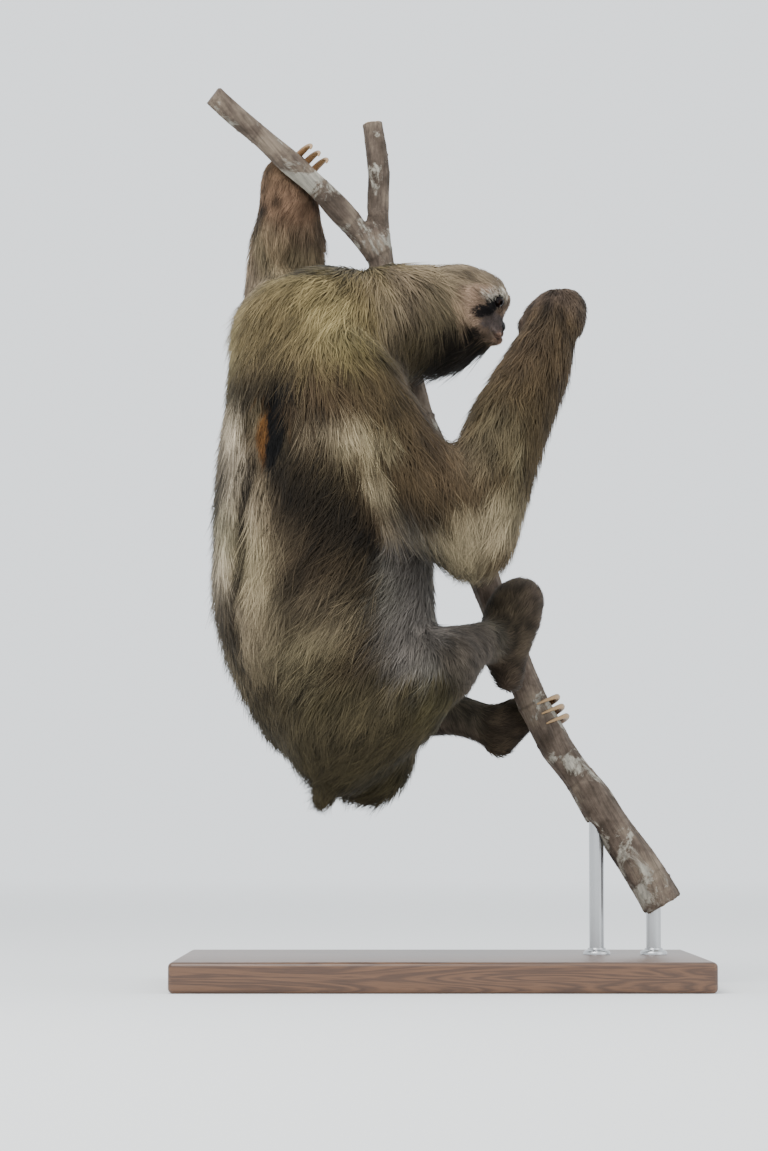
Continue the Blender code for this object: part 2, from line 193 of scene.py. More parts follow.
# %% A smooth noise and a soft step
def ripple(places, size, seed):
    """Smooth noise between about -1 and 1, with swells about size metres across."""
    chance = np.random.default_rng(seed)
    total = np.zeros(len(places))
    for _ in range(7):
        heading = unit(chance.normal(size=3))
        pitch = size * chance.uniform(1.2, 2.6)
        total += np.sin(places @ heading * math.tau / pitch + chance.uniform(0, math.tau))
    return total / 3.2


def ramp(values, start, end):
    """Zero before start and one after end, with an eased slope between."""
    t = np.clip((values - start) / (end - start), 0, 1)
    return t * t * (3 - 2 * t)


# %% [markdown]
# ## The head's own axes
#
# A face is easiest to shape in its own directions: forward through the nose, left through the left
# cheek, and up through the crown. The eyes and the nose are solids in the frame, so the axes follow
# from them: the nose sits 17 mm below and 9 mm in front of the middle between the eyes.

# %% Axes and place of the head
EYES = {side: middle(f"eye_{side}") for side in "rl"}
EYE_RADIUS = (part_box("eye_r")[1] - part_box("eye_r")[0]).z / 2
EYE_FORWARD, EYE_RISE = 27.5 * MM, 4.5 * MM
NOSE_DROP, NOSE_LEAD = 16.5 * MM, 8.5 * MM

leftward = unit(EYES["l"] - EYES["r"])
between_eyes = (EYES["l"] + EYES["r"]) / 2
to_nose = middle("nose") - between_eyes
to_nose = unit(to_nose - leftward * (to_nose @ leftward))
dip = math.atan2(NOSE_DROP, NOSE_LEAD)
forward = to_nose * math.cos(dip) + np.cross(to_nose, leftward) * math.sin(dip)
crownward = np.cross(forward, leftward)
HEAD_AXES = np.column_stack([forward, leftward, crownward])
HEAD_AT = between_eyes - forward * EYE_FORWARD - crownward * EYE_RISE


def to_head(places):
    """World places as forward, leftward and crownward distances from the head's middle."""
    return (places - HEAD_AT) @ HEAD_AXES


def from_head(places):
    return np.asarray(places) @ HEAD_AXES.T + HEAD_AT


print("head at", HEAD_AT.round(3), "looking along", forward.round(2))

# %% [markdown]
# ## The parts of the body
#
# Hair differs from part to part. On the back it is the length of a thumb and stands in a deep
# cushion, on the belly and the shins it is short, and on the face it is like suede. This table
# says, for each solid of flesh, how deep the coat lies, how long and how wide a lock of it is, and
# how densely the locks stand compared with the back.

# %% The coat of each part
FLESH = {
    # part: (depth of coat mm, length of lock mm, width of lock mm, crowding)
    "trunk": (13.0, 40.0, 1.00, 1.0),
    "neck": (12.0, 40.0, 1.00, 1.05),
    "head": (8.0, 24.0, 0.85, 1.4),
    "tail": (6.0, 18.0, 0.95, 1.2),
    "upper_arm_r": (11.0, 36.0, 0.95, 1.05),
    "forearm_r": (10.0, 30.0, 0.95, 1.1),
    "hand_r": (4.0, 9.0, 0.80, 2.3),
    "upper_arm_l": (10.0, 34.0, 0.95, 1.0),
    "forearm_l": (3.5, 22.0, 0.95, 1.1),
    "hand_l": (3.0, 9.0, 0.80, 2.3),
}
for side in "rl":
    FLESH[f"thigh_{side}"] = (8.0, 26.0, 0.95, 1.1)
    FLESH[f"shin_{side}"] = (4.0, 13.0, 0.90, 1.6)
    FLESH[f"foot_{side}"] = (4.0, 10.0, 0.85, 2.2)
PARTS = list(FLESH)
COAT = np.array([FLESH[part] for part in PARTS])
SPECULUM = np.array([-0.137, -0.110, 0.440])
CROWN = middle("neck") + np.array([-0.038, 0.000, 0.048])
# The dark parting along the spine, where the hair of the two sides meets: points (x, z).
PARTING = [
    (-0.151, 0.412), (-0.158, 0.376), (-0.159, 0.330),
    (-0.165, 0.295), (-0.168, 0.262), (-0.164, 0.232),
]
BACKWARD = unit(np.array([-1.0, -1.0, 0.0]))
SIDEWAYS = unit(np.array([1.0, -1.0, 0.0]))


def trunk_axis(heights):
    """Where the middle of the trunk lies, in x and y, at these heights."""
    places = places_of(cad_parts["trunk"].data)
    low, high = places[:, 2].min(), places[:, 2].max()
    steps = np.linspace(low + 0.04, high - 0.05, 12)
    rows = []
    for step in steps:
        near = places[abs(places[:, 2] - step) < 0.03]
        rows.append((near[:, :2].min(0) + near[:, :2].max(0)) / 2)
    rows = np.array(rows)
    return np.column_stack([np.interp(heights, steps, rows[:, i]) for i in (0, 1)])


def around_trunk(places):
    """How far a place faces the back, from -1 on the belly to 1 on the spine."""
    outward = unit(places[:, :2] - trunk_axis(places[:, 2]))
    return outward @ BACKWARD[:2]


# %% [markdown]
# ## One skin
#
# The solids of flesh meet in thin gaps. Blown up by a little more than those gaps and melted with a
# voxel remesh, they become one closed form, the coat's outer surface. The skin lies below it by the
# coat's depth, so the form is sunk along its normals in small steps, with a light smoothing between
# them so that thin places don't fold over. Each point remembers which part it belongs to.

# %% Melt the flesh and sink it to the skin
FORM_VOXEL = 3.0 * MM
SKIN_VOXEL = 2.4 * MM
SWELL = 0.7  # how far each solid is blown up, in mm
SINK_STEPS = 4


def spread(edges, values, rounds, share=0.5):
    """Averages values along the edges of a mesh, so that they run smoothly over it."""
    count = np.bincount(edges.ravel(), minlength=len(values))[:, None]
    first, second = edges.T
    for _ in range(rounds):
        total = np.column_stack([
            np.bincount(first, values[second, i], len(values))
            + np.bincount(second, values[first, i], len(values))
            for i in range(values.shape[1])
        ])
        values = values + share * (total / count - values)
    return values


def edges_of(mesh):
    edges = np.empty(len(mesh.edges) * 2, int)
    mesh.edges.foreach_get("vertices", edges)
    return edges.reshape(-1, 2)


def flesh_form():
    """All the solids of flesh as one closed form."""
    whole = bpy.data.meshes.new("skin")
    together = bmesh.new()
    for part in PARTS:
        piece = merged_copy(part)
        for vert in piece.verts:
            vert.co += vert.normal * SWELL * MM
        piece.to_mesh(whole)
        piece.free()
        together.from_mesh(whole)
    together.to_mesh(whole)
    together.free()
    return remeshed(new_piece("skin", whole), FORM_VOXEL, 4)


def shares_of_parts(places):
    """One column for each part: one where a place lies nearest to that part, else zero."""
    corners, faces, owner = [], [], []
    for number, part in enumerate(PARTS):
        mesh = merged_copy(part)
        start = len(corners)
        corners += [vert.co.copy() for vert in mesh.verts]
        faces += [[start + vert.index for vert in face.verts] for face in mesh.faces]
        owner += [number] * len(mesh.faces)
        mesh.free()
    tree = BVHTree.FromPolygons(corners, faces)
    found = [owner[tree.find_nearest(Vector(place))[2]] for place in places]
    return np.eye(len(PARTS))[found]


def face_share(places):
    """One on the short-haired face, zero on the crown and the rest of the body."""
    ahead, across, height = to_head(places).T / MM
    span = np.hypot((ahead - 27) / 32, (height + 8) / 22) + 0.05 * ripple(places, 0.008, 61)
    within = ramp(-abs(across), -46, -42) * ramp(ahead, -7, -1) * ramp(-ahead, -48, -43)
    return ramp(-span, -1.12, -0.90) * within


def belly_share(places, shares):
    """One on the belly between the legs and the chest, zero on the flanks and the back."""
    on_trunk = shares[:, PARTS.index("trunk")]
    return on_trunk * ramp(-around_trunk(places), 0.05, 0.6)


def bump(values, centre, width):
    return np.exp(-((values - centre) / width) ** 2)


def line_distance(places, start, end):
    """How far each place lies from the line between two points."""
    step = np.array(end, float) - start
    way = np.clip((places - start) @ step / (step @ step), 0, 1)
    return np.linalg.norm(places - start - np.outer(way, step), axis=1)


def parting_distance(places):
    """How far a place on the back lies from the parting along the spine, in metres."""
    lines = [line_distance(places[:, [0, 2]], *ends) for ends in zip(PARTING, PARTING[1:])]
    return np.min(lines, axis=0) + 0.1 * ramp(places[:, 1], -0.065, -0.05)


def slit_share(places, grown=1.0):
    """One on the bare-looking slot between the shoulders of a male, where hair is short."""
    away = places - SPECULUM
    span = np.hypot((away[:, 0] - 0.006) / 0.020, (away[:, 2] - 0.002) / 0.042) / grown
    return ramp(-span, -1.3, -0.7) * ramp(-places[:, 1], 0.06, 0.08)


def coat_measures(places, shares):
    """Depth, length and width of the coat in metres, and its crowding, at each place."""
    measures = blend(shares @ COAT, [4.0, 9.0, 0.85, 2.2], slit_share(places))
    seam = bump(parting_distance(places), 0, 0.006) * 0.7
    measures = blend(measures, [8.0, 14.0, 0.85, 1.6], seam)
    whorl = np.exp(-(np.linalg.norm(places - CROWN, axis=1) / 0.022) ** 2)[:, None]
    measures = measures * (1 + whorl * [-0.2, 0.1, 0.2, 0.9])
    ahead, across, height = to_head(places).T / MM
    face = face_share(places)
    brow = np.exp(-(np.hypot(ahead - 27, height + 8) / 44) ** 4)[:, None]
    muzzle = ramp(np.hypot(ahead - 12, across), 19, 25) * ramp(-height, -2, 4) * face
    belly = belly_share(places, shares)[:, None]
    measures = measures * (1 - belly * [0.45, 0.35, 0.1, 0])
    measures = measures * (1 - brow * shares[:, [PARTS.index("head")]] * [0.2, 0.45, 0.3, -0.5])
    measures = blend(measures, [2.4, 7.0, 0.7, 3.4], face)
    return blend(measures, [1.2, 3.2, 0.45, 4.6], muzzle) * [MM, MM, MM, 1]


skin = flesh_form()
outer = places_of(skin.data)
links = edges_of(skin.data)
shares = spread(links, shares_of_parts(outer), 10)
depth = spread(links, coat_measures(outer, shares)[:, :1], 4)
depth += 9 * MM * slit_share(outer)[:, None]
depth += 5 * MM * bump(parting_distance(outer), 0, 0.006)[:, None]
fold = 4 * shares[:, [PARTS.index("upper_arm_r")]] * shares[:, [PARTS.index("trunk")]]
depth += 5 * MM * fold * ramp(-outer[:, [2]], -0.46, -0.42)
for _ in range(SINK_STEPS):
    sunk = places_of(skin.data) - normals_of(skin.data) * depth / SINK_STEPS
    move_to(skin.data, spread(links, sunk, 1, share=0.25))
memory = KDTree(len(outer))
for index, place in enumerate(places_of(skin.data)):
    memory.insert(place, index)
memory.balance()
remeshed(skin, SKIN_VOXEL, 2)
print("skin:", len(skin.data.vertices), "points before the face is refined")

# %% [markdown]
# ## The face
#
# A sloth's face is small, flat and round, with a short muzzle, small forward eyes and a mouth that
# always seems to smile. The body's squares are too coarse for lids and lips, so the front of the
# head is cut finer twice. Then plain formulas in the head's own axes push the points: a hollow
# round each eye, lids wrapped over the eyeball with an almond opening between them, a mouth line
# with lips, a chin, and folds at the corners of the mouth.

# %% Refine the front of the head
def refine(mesh, inside):
    """Cuts the faces whose points all lie inside a region into four."""
    work = bmesh.new()
    work.from_mesh(mesh)
    chosen = inside(np.array([vert.co for vert in work.verts]))
    edges = [
        edge for edge in work.edges
        if chosen[edge.verts[0].index] and chosen[edge.verts[1].index]
    ]
    bmesh.ops.subdivide_edges(work, edges=edges, cuts=1, use_grid_fill=True, smooth=0.0)
    work.to_mesh(mesh)
    work.free()


def near_face(places, reach):
    local = to_head(places) / MM
    return (
        (local[:, 0] > reach) & (abs(local[:, 1]) < 34) & (local[:, 2] > -32) & (local[:, 2] < 30)
    )


refine(skin.data, lambda places: near_face(places, 4))
refine(skin.data, lambda places: near_face(places, 12))
print("skin:", len(skin.data.vertices), "points with a fine face")

# %% Shape lids, mouth, chin and folds
LID = 0.8
OPENING = (3.5, 2.5)
EYE_DEPTH = 1.3 * MM


def gaze_axes(side):
    """An eye's line of sight, its level direction and its upward one, in the head's axes."""
    gaze = unit(np.array([0.78, 0.62 if side == "l" else -0.62, 0.05]))
    level = unit(np.cross([0, 0, 1], gaze))
    return gaze, level, np.cross(gaze, level)


def set_in(side):
    """The middle of an eyeball, set a little deeper into the head than its solid."""
    return EYES[side] - HEAD_AXES @ gaze_axes(side)[0] * EYE_DEPTH


def mouth_height(across):
    """The height of the mouth line in mm: a shallow wave whose corners turn up."""
    reach = np.minimum(abs(across), 19) / 19
    return -19.0 - 3.0 * np.sin(math.pi * reach ** 1.2)


def shape_face(mesh):
    local = to_head(places_of(mesh)) / MM
    head_normals = normals_of(mesh) @ HEAD_AXES
    ahead, across, height = local.T
    apart = abs(across)
    share = ramp(ahead, 6, 14)
    moved = np.zeros(len(local))
    for side in "rl":
        centre = to_head(EYES[side]) / MM
        gaze = gaze_axes(side)[0]
        away = local - centre
        off_axis = np.linalg.norm(away - np.outer(away @ gaze, gaze), axis=1)
        moved += 0.8 * bump(off_axis, 4.0, 4.0) * share
        moved -= 0.7 * bump(off_axis, 9.5, 2.5) * share
        moved += 1.5 * bump(height, centre[2] + 8.5, 3.2) * bump(across, centre[1], 10) * share
        moved += 0.8 * bump(height, centre[2] - 9.0, 3.5) * bump(apart, 21, 6) * share
    from_mouth = height - mouth_height(across)
    on_muzzle = share * ramp(-apart, -19, -15) * ramp(ahead, 16, 22)
    moved -= 1.9 * bump(from_mouth, 0, 1.0) * on_muzzle
    moved += 0.9 * bump(from_mouth, 2.8, 1.8) * on_muzzle
    moved += 0.9 * bump(from_mouth, -2.6, 1.7) * on_muzzle
    moved -= 0.8 * bump(from_mouth, -6.5, 2.0) * on_muzzle
    moved -= 1.1 * bump(apart, 18, 2.0) * bump(height, -17, 5.0) * share
    moved += 1.0 * bump(apart, 9, 4.5) * bump(height, -14.5, 4.0) * share
    from_pad = np.hypot(across / 1.35, height + 12)
    moved += 2.2 * bump(from_pad, 4.0, 5.0) * share
    moved += 2.0 * bump(height, -29, 6) * ramp(-apart, -22, -10) * share
    moved -= 0.8 * bump(across, 0, 0.7) * ramp(-height, 15, 16.5) * ramp(height, -19, -18) * share
    moved += 0.15 * ripple(local, 3.0, 5) * share
    local = local + head_normals * moved[:, None]

    radius = EYE_RADIUS / MM
    for side in "rl":
        centre = to_head(set_in(side)) / MM
        gaze, level, rise = gaze_axes(side)
        away = local - centre
        distance = np.linalg.norm(away, axis=1)
        front = (away @ gaze > 0) & (distance < 13)
        width, lift = away @ level, away @ rise
        open_at = np.sqrt((width / OPENING[0]) ** 2 + ((lift - 0.2) / OPENING[1]) ** 2)
        lid_rim = radius + 0.25 + LID * bump(open_at, 1.3, 0.45)
        wanted = np.where(open_at < 1.0, radius - 1.2, np.maximum(distance * 0.9, lid_rim))
        fade = ramp(-distance, -13, -9)
        scale = np.where(front, 1 + fade * (wanted / np.maximum(distance, 1e-6) - 1), 1.0)
        local = centre + away * scale[:, None]
    move_to(mesh, from_head(local * MM))


shape_face(skin.data)

# %% [markdown]
# ## How the hair lies
#
# A sloth hangs upside down, so its hair runs the other way from a dog's: from the belly round to
# the spine, where the two sides meet in a seam, and from the wrist down to the elbow. Between neck
# and shoulder it fans out from a crown. Each part gets a direction in words, the shares of the
# parts blend them, and the result is laid flat onto the skin.

# %% Direction, measures and names of the coat on the skin
def recalled_shares(places):
    found = np.array([shares[memory.find(place)[1]] for place in places])
    return spread(edges_of(skin.data), found, 3)


def to_claws(paw):
    """The direction from the middle of a hand or foot to where its middle claw leaves it."""
    points = places_of(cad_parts[f"claw_{paw}_2"].data) - middle(paw)
    return unit(points[np.linalg.norm(points, axis=1).argmin()])


def lie_of_hair(places, normals, shares):
    """The direction in which the hair lies, flat on the skin."""
    away = unit(places - CROWN)
    round_to_back = BACKWARD - normals * (normals @ BACKWARD)[:, None]
    local = to_head(places) / MM
    side = np.sign(local[:, 1]) * ramp(abs(local[:, 1]), 1, 10)
    from_nose = unit(local - [31, 0, -7]) @ HEAD_AXES.T
    below = ramp(-normals[:, 2], -0.1, 0.5)
    top = ramp(normals @ crownward, 0.2, 0.7)
    under_head = DOWN * 0.5 - forward * 0.9
    crown_hair = DOWN * 0.9 + np.outer(side, leftward) * 0.3 - forward * 0.25
    crown_hair = blend(crown_hair, DOWN * 0.2 - forward * 0.9, top)
    crown_hair = blend(crown_hair, under_head, below)
    lies = {
        "trunk": DOWN * 0.75 + round_to_back * 0.85,
        "neck": blend(away + DOWN * 0.7, under_head, below),
        "head": blend(crown_hair, from_nose, face_share(places)),
        "tail": DOWN + BACKWARD,
        "upper_arm_r": long_axis("upper_arm_r", "forearm_r") + DOWN * 0.3,
        "forearm_r": long_axis("forearm_r", "upper_arm_r") + DOWN * 0.3,
        "hand_l": DOWN * 0.8 + np.array([-0.4, 0.0, 0.0]),
    }
    for paw in ("foot_r", "foot_l"):
        shin, thigh = paw.replace("foot", "shin"), paw.replace("foot", "thigh")
        lies[thigh] = DOWN * 0.7 + BACKWARD * 0.5
        lies[shin] = DOWN * 0.7 + unit(middle(paw) - middle(shin)) * 0.4
        lies[paw] = to_claws(paw)
    total = sum(
        shares[:, [i]] * unit(np.broadcast_to(lies.get(part, DOWN), places.shape))
        for i, part in enumerate(PARTS)
    )
    total = blend(total, DOWN, slit_share(places, 1.7))
    near_crown = np.exp(-(np.linalg.norm(places - CROWN, axis=1) / 0.050) ** 2)
    total = blend(total, away + DOWN * 0.2, near_crown)
    for _ in range(2):
        total = unit(total - normals * (total * normals).sum(1)[:, None])
        total = spread(edges_of(skin.data), total, 4)
    return unit(total - normals * (total * normals).sum(1)[:, None])


def store(mesh, name, values, kind="FLOAT", domain="POINT"):
    layer = mesh.attributes.new(name, kind, domain)
    key = {"FLOAT": "value", "INT": "value", "FLOAT_VECTOR": "vector", "FLOAT_COLOR": "color"}[kind]
    layer.data.foreach_set(key, np.ascontiguousarray(values).ravel())


places = places_of(skin.data)
normals = normals_of(skin.data)
shares = recalled_shares(places)
measures = coat_measures(places, shares)
lie = lie_of_hair(places, normals, shares)
calm = np.linalg.norm(spread(edges_of(skin.data), lie, 6), axis=1)
measures[:, :2] *= 0.45 + 0.55 * ramp(calm, 0.55, 0.95)[:, None]
for name, values in zip(("coat_depth", "coat_length", "coat_width", "crowding"), measures.T):
    store(skin.data, name, values)
store(skin.data, "lie", lie, "FLOAT_VECTOR")
store(skin.data, "outward", normals, "FLOAT_VECTOR")
print("coat: from", measures[:, 1].min().round(4), "to", measures[:, 1].max().round(4), "m long")

# %% [markdown]
# ## The markings
#
# The colours are those of the species: a brown hood over a pale face with a dark stripe running
# back from each eye, a brown throat, a greenish mantle where algae live in the grooved hairs, cream
# patches on shoulder blade, elbow and flank, and between the shoulders of a male the short orange
# patch with a black stripe. Each marking is a soft-edged blot: an ellipsoid on the body, frayed by
# the noise. Some dark blots are not markings but painted shade: under the right arm and its elbow,
# where the thighs meet the belly, under the lobe of the mantle, and in the hollow of the left wrist.
# Skin and hair both read the colours from the skin's points, so they always agree.

# %% Paint the markings on the points of the skin
MANTLE = linear("#706244")
STRAW = linear("#8c7c58")
HOOD = linear("#776855")
GREY_BROWN = linear("#615543")
ARM = linear("#4a3c2b")
FAR_ARM = linear("#7c6855")
FLANK = linear("#3f3426")
CREAM = linear("#9c8c72")
PALE_CREAM = linear("#bbac94")
DARK = linear("#19130c")
BELLY = linear("#68625c")
LEG = linear("#4d453d")
RUMP = linear("#423a29")
PAW = linear("#4a3d33")
FOOT = linear("#453a30")
RUST = linear("#7d4f2c")
FACE = linear("#8a7461")
BROW = linear("#cec8b9")
MASK = linear("#120e0f")
MUZZLE = linear("#695e5b")
LIPS = linear("#d3a890")
THROAT = linear("#241d18")
ORANGE = linear("#583a1d")
BLACK = linear("#050404")

PART_COLOURS = {
    "trunk": FLANK, "neck": MANTLE, "head": HOOD, "tail": RUMP,
    "upper_arm_r": ARM, "forearm_r": ARM, "hand_r": PAW,
    "upper_arm_l": linear("#8a7763"), "forearm_l": FAR_ARM, "hand_l": linear("#6c5543"),
    "thigh_r": RUMP, "shin_r": LEG, "foot_r": FOOT,
    "thigh_l": RUMP, "shin_l": LEG, "foot_l": FOOT,
}
# Markings of the trunk and the arms, and dark blots of painted shade: middle and half sizes in mm,
# lean from the upright in degrees (seen from the animal's right, clockwise), colour, strength, and
# whether both flanks have it.
BLOTS = [
    ((-95, -110, 530), (75, 90, 50), 0, MANTLE, 0.95, True),
    ((-150, -100, 505), (24, 60, 24), 20, MANTLE, 0.80, True),
    ((2, -60, 550), (42, 100, 60), 0, HOOD, 0.90, True),
    ((-80, -120, 530), (34, 60, 22), -10, STRAW, 0.85, True),
    ((-40, -100, 540), (14, 60, 26), -25, CREAM, 0.35, False),
    ((-20, -100, 566), (50, 100, 12), 0, GREY_BROWN, 0.45, True),
    ((-47, -120, 498), (6, 60, 22), -38, DARK, 0.60, False),
    # Painted shade: these two blots darken the mantle's lower edge and the top of the slot, under
    # the lobe of mantle hair that hangs over them.
    ((-142, -120, 482), (30, 60, 20), 0, FLANK, 0.60, True),
    ((-136, -120, 466), (22, 60, 10), 0, DARK, 0.90, True),
    ((-24, -100, 300), (34, 80, 64), 0, BELLY, 0.90, True),
    ((-166, -95, 400), (13, 70, 60), -6, PALE_CREAM, 0.85, False),
    ((-173, -95, 332), (13, 70, 80), 0, PALE_CREAM, 0.95, False),
    ((-100, -130, 284), (36, 70, 30), 10, GREY_BROWN, 0.95, True),
    ((-146, -110, 352), (10, 70, 48), -4, CREAM, 0.72, True),
    ((-143, -110, 312), (14, 70, 34), 0, CREAM, 0.50, True),
    ((-146, -110, 274), (14, 70, 28), 10, CREAM, 0.40, True),
    ((-68, -140, 428), (28, 50, 12), 14, CREAM, 0.95, False),
    ((-98, -140, 436), (12, 50, 6), -20, CREAM, 0.50, False),
    ((-50, -145, 390), (10, 50, 16), -20, CREAM, 0.95, False),
    ((-38, -145, 360), (9, 50, 13), -25, CREAM, 0.60, False),
    ((-12, -140, 342), (10, 50, 5), 25, CREAM, 0.50, False),
    ((32, -110, 352), (42, 80, 20), -36, CREAM, 0.95, False),
    ((48, -110, 374), (12, 80, 16), -10, CREAM, 0.60, False),
    ((60, -110, 408), (5, 60, 20), 10, CREAM, 0.55, False),
    ((36, -110, 426), (22, 90, 34), 35, GREY_BROWN, 0.65, False),
    # Painted shade: these four dark blots shade the arm's lower edge, the flank under the right arm
    # and the belly under the elbow.
    ((-18, -140, 368), (24, 60, 14), 30, DARK, 0.50, False),
    ((-98, -130, 376), (56, 70, 26), 37, DARK, 0.80, True),
    ((-74, -130, 360), (40, 70, 14), 40, DARK, 0.90, True),
    ((2, -130, 326), (40, 60, 11), 27, DARK, 0.95, False),
    # Painted shade where the thighs meet the belly.
    ((-6, -120, 268), (22, 60, 11), 0, DARK, 0.45, True),
    ((-118, -130, 404), (12, 60, 30), -10, DARK, 0.60, True),
    ((-112, -130, 322), (10, 60, 34), 40, DARK, 0.60, True),
    ((-88, -130, 306), (6, 60, 34), 45, DARK, 0.60, True),
    ((-60, -130, 300), (6, 60, 30), 45, DARK, 0.50, True),
    ((-92, -130, 276), (7, 60, 20), 45, CREAM, 0.25, True),
    ((-112, -130, 270), (5, 60, 18), 30, CREAM, 0.35, True),
    ((-122, -130, 278), (4, 60, 16), 15, DARK, 0.60, True),
    ((-12, -80, 508), (30, 80, 22), 0, DARK, 0.60, True),
    ((-118, -120, 246), (30, 60, 5), 30, CREAM, 0.45, True),
    ((-130, -120, 246), (6, 50, 8), 30, DARK, 0.80, True),
    ((-133, -120, 228), (7, 50, 5), 0, DARK, 0.80, True),
    ((-110, -120, 232), (8, 50, 4), 0, DARK, 0.80, True),
    ((-109, -60, 641), (8, 60, 14), -20, RUST, 0.60, False),
    # Painted shade in the hollow of the raised left wrist.
    ((-154, 75, 634), (9, 60, 16), 20, DARK, 0.75, False),
]


def blot(places, centre, halves, lean, seed):
    """One inside an ellipsoid, zero outside, with a frayed edge."""
    turn = math.radians(lean)
    away = places - np.array(centre) * MM
    along = away[:, 0] * math.cos(turn) - away[:, 2] * math.sin(turn)
    rise = away[:, 0] * math.sin(turn) + away[:, 2] * math.cos(turn)
    rows = np.column_stack([along, away[:, 1], rise]) / (np.array(halves) * MM)
    return ramp(0.22 * ripple(places, 0.010, seed) - np.linalg.norm(rows, axis=1), -1.25, -0.75)


def mirrored(places):
    """Places swapped across the trunk's own plane of symmetry."""
    axis = np.column_stack([trunk_axis(places[:, 2]), places[:, 2]])
    return places - 2 * np.outer((places - axis) @ SIDEWAYS, SIDEWAYS)


def coat_colours(places, shares):
    colours = shares @ np.array([PART_COLOURS[part] for part in PARTS])
    body = shares[:, PARTS.index("trunk")]
    spine = ramp(around_trunk(places), 0.80, 0.98) * body
    colours = blend(colours, GREY_BROWN, spine * 0.6)
    colours = blend(colours, BELLY, belly_share(places, shares))
    colours = blend(colours, RUMP, body * ramp(-places[:, 2], -0.245, -0.205))
    other_side = mirrored(places)
    for seed, (centre, halves, lean, colour, strength, both) in enumerate(BLOTS):
        share = blot(places, centre, halves, lean, seed)
        if both:
            share = np.maximum(share, blot(other_side, centre, halves, lean, seed + 50))
        colours = blend(colours, colour, share * strength)
    seam = bump(parting_distance(places) + 0.001 * ripple(places, 0.012, 8), 0, 0.0045)
    colours = blend(colours, DARK, seam)
    return face_colours(places, speculum_colours(places, colours))


def speculum_colours(places, colours):
    """The short-haired patch between the shoulders: orange beside a black slot."""
    near = ramp(-places[:, 1], 0.05, 0.065)
    across, rise = (places - SPECULUM)[:, [0, 2]].T / MM
    fray = 0.14 * ripple(places, 0.006, 22)
    orange = ramp(fray - np.hypot((across + 3) / 5.8, (rise + 9) / 22), -1.2, -0.8)
    edge = ramp(fray - np.hypot((across - 18) / 3.5, rise / 11), -1.2, -0.8)
    width = 7.4 + 5.6 * ramp(rise, 8, 22)
    middle_line = 8 - 0.2 * np.maximum(-rise, 0)
    slot = ramp(fray - np.hypot((across - middle_line) / width, (rise + 1) / 37), -1.2, -0.9)
    colours = blend(colours, ORANGE, np.maximum(orange, edge * 0.35) * near)
    return blend(colours, BLACK, slot * near)


def face_colours(places, colours):
    local = to_head(places) / MM
    ahead, across, height = local.T
    apart = abs(across)
    profile = local[:, [0, 2]]
    even = np.column_stack([ahead, -apart, height])
    wave = 1 + 0.25 * ripple(places, 0.006, 62)
    head = ramp(-np.linalg.norm(local - [8, 0, -35], axis=1), -62, -50)
    near = ramp(-np.linalg.norm(local, axis=1), -52, -46)
    jaw = -22 - 0.6 * np.clip(25 - ahead, 0, 99) - 0.45 * np.clip(10 - ahead, 0, 99)
    jaw -= 8 * ramp(ahead, 25, 30)
    brow = bump(line_distance(profile, (31, 16), (22, 4)), 0, 4.5 * wave)
    muzzle = ramp(ahead - 0.35 * apart, 12, 17) * ramp(-height, 2, 6)
    chin = ramp(ahead, 18, 23) * ramp(-apart, -17, -12) * ramp(-height, 16.5, 18.5)
    stripe = ramp(-line_distance(profile, (28, 3), (19.5, -12.5)) / wave, -5.3, -3.7)
    from_eye = np.linalg.norm(even - to_head(EYES["r"]) / MM, axis=1)
    from_nose = np.linalg.norm(local - to_head(middle("nose")) / MM, axis=1)
    lips = bump(height, mouth_height(across), 1.1) * ramp(ahead, 18, 24) * ramp(-apart, -19, -15)
    for colour, share in (
        (FACE, face_share(places)),
        (THROAT, head * ramp(jaw - height, -3, 4)),
        (BROW, brow * ramp(apart, 3, 9) * ramp(ahead, 8, 13) * near),
        (MUZZLE, near * muzzle * ramp(height, -20.5, -18.5) * 0.9),
        (LIPS, near * chin * ramp(height, -29, -25) * 0.95),
        (MASK, stripe * ramp(apart, 8, 12) * near),
        (MASK, ramp(-from_eye / wave, -6.2, -4.8)),
        (MASK, ramp(-from_nose / wave, -11, -7) * 0.7),
        (MASK, lips * near * 0.9),
    ):
        colours = blend(colours, colour, share)
    return colours


surface = places + normals * measures[:, :1] * 0.75
colours = coat_colours(surface, shares)
tone = 1 + 0.14 * ripple(places, 0.007, 31) + 0.12 * ripple(places, 0.014, 34)
tone += 0.14 * ripple(places, 0.026, 32)
tone = np.maximum(tone, 0.4)
green = np.clip(0.3 + 0.7 * ripple(places, 0.05, 33), 0, 1)[:, None]
colours = colours * tone[:, None] * (1 - green * [0.05, 0.0, 0.10])
store(skin.data, "coat_colour", np.column_stack([colours, np.ones(len(colours))]), "FLOAT_COLOR")
print("markings:", len(BLOTS), "blots on", len(places), "points")

# %% [markdown]
# ## A flat map of the skin
#
# A lock of hair is far too small to be unwrapped by itself. It borrows the spot on the skin's map
# where its root grows, so the skin is unwrapped once, by its own shape, before the coat is grown.

# %% Unwrap the skin
BAKE_MAP = "OFBake"


def unwrap(piece):
    piece.data.uv_layers.new(name=BAKE_MAP)
    bpy.ops.object.select_all(action="DESELECT")
    piece.select_set(True)
    bpy.context.view_layer.objects.active = piece
    bpy.ops.object.mode_set(mode="EDIT")
    bpy.ops.mesh.select_all(action="SELECT")
    bpy.ops.uv.smart_project(angle_limit=math.radians(66), island_margin=0.002)
    bpy.ops.object.mode_set(mode="OBJECT")


unwrap(skin)
print("map:", BAKE_MAP, "with", len(skin.data.uv_layers[BAKE_MAP].data), "corners")

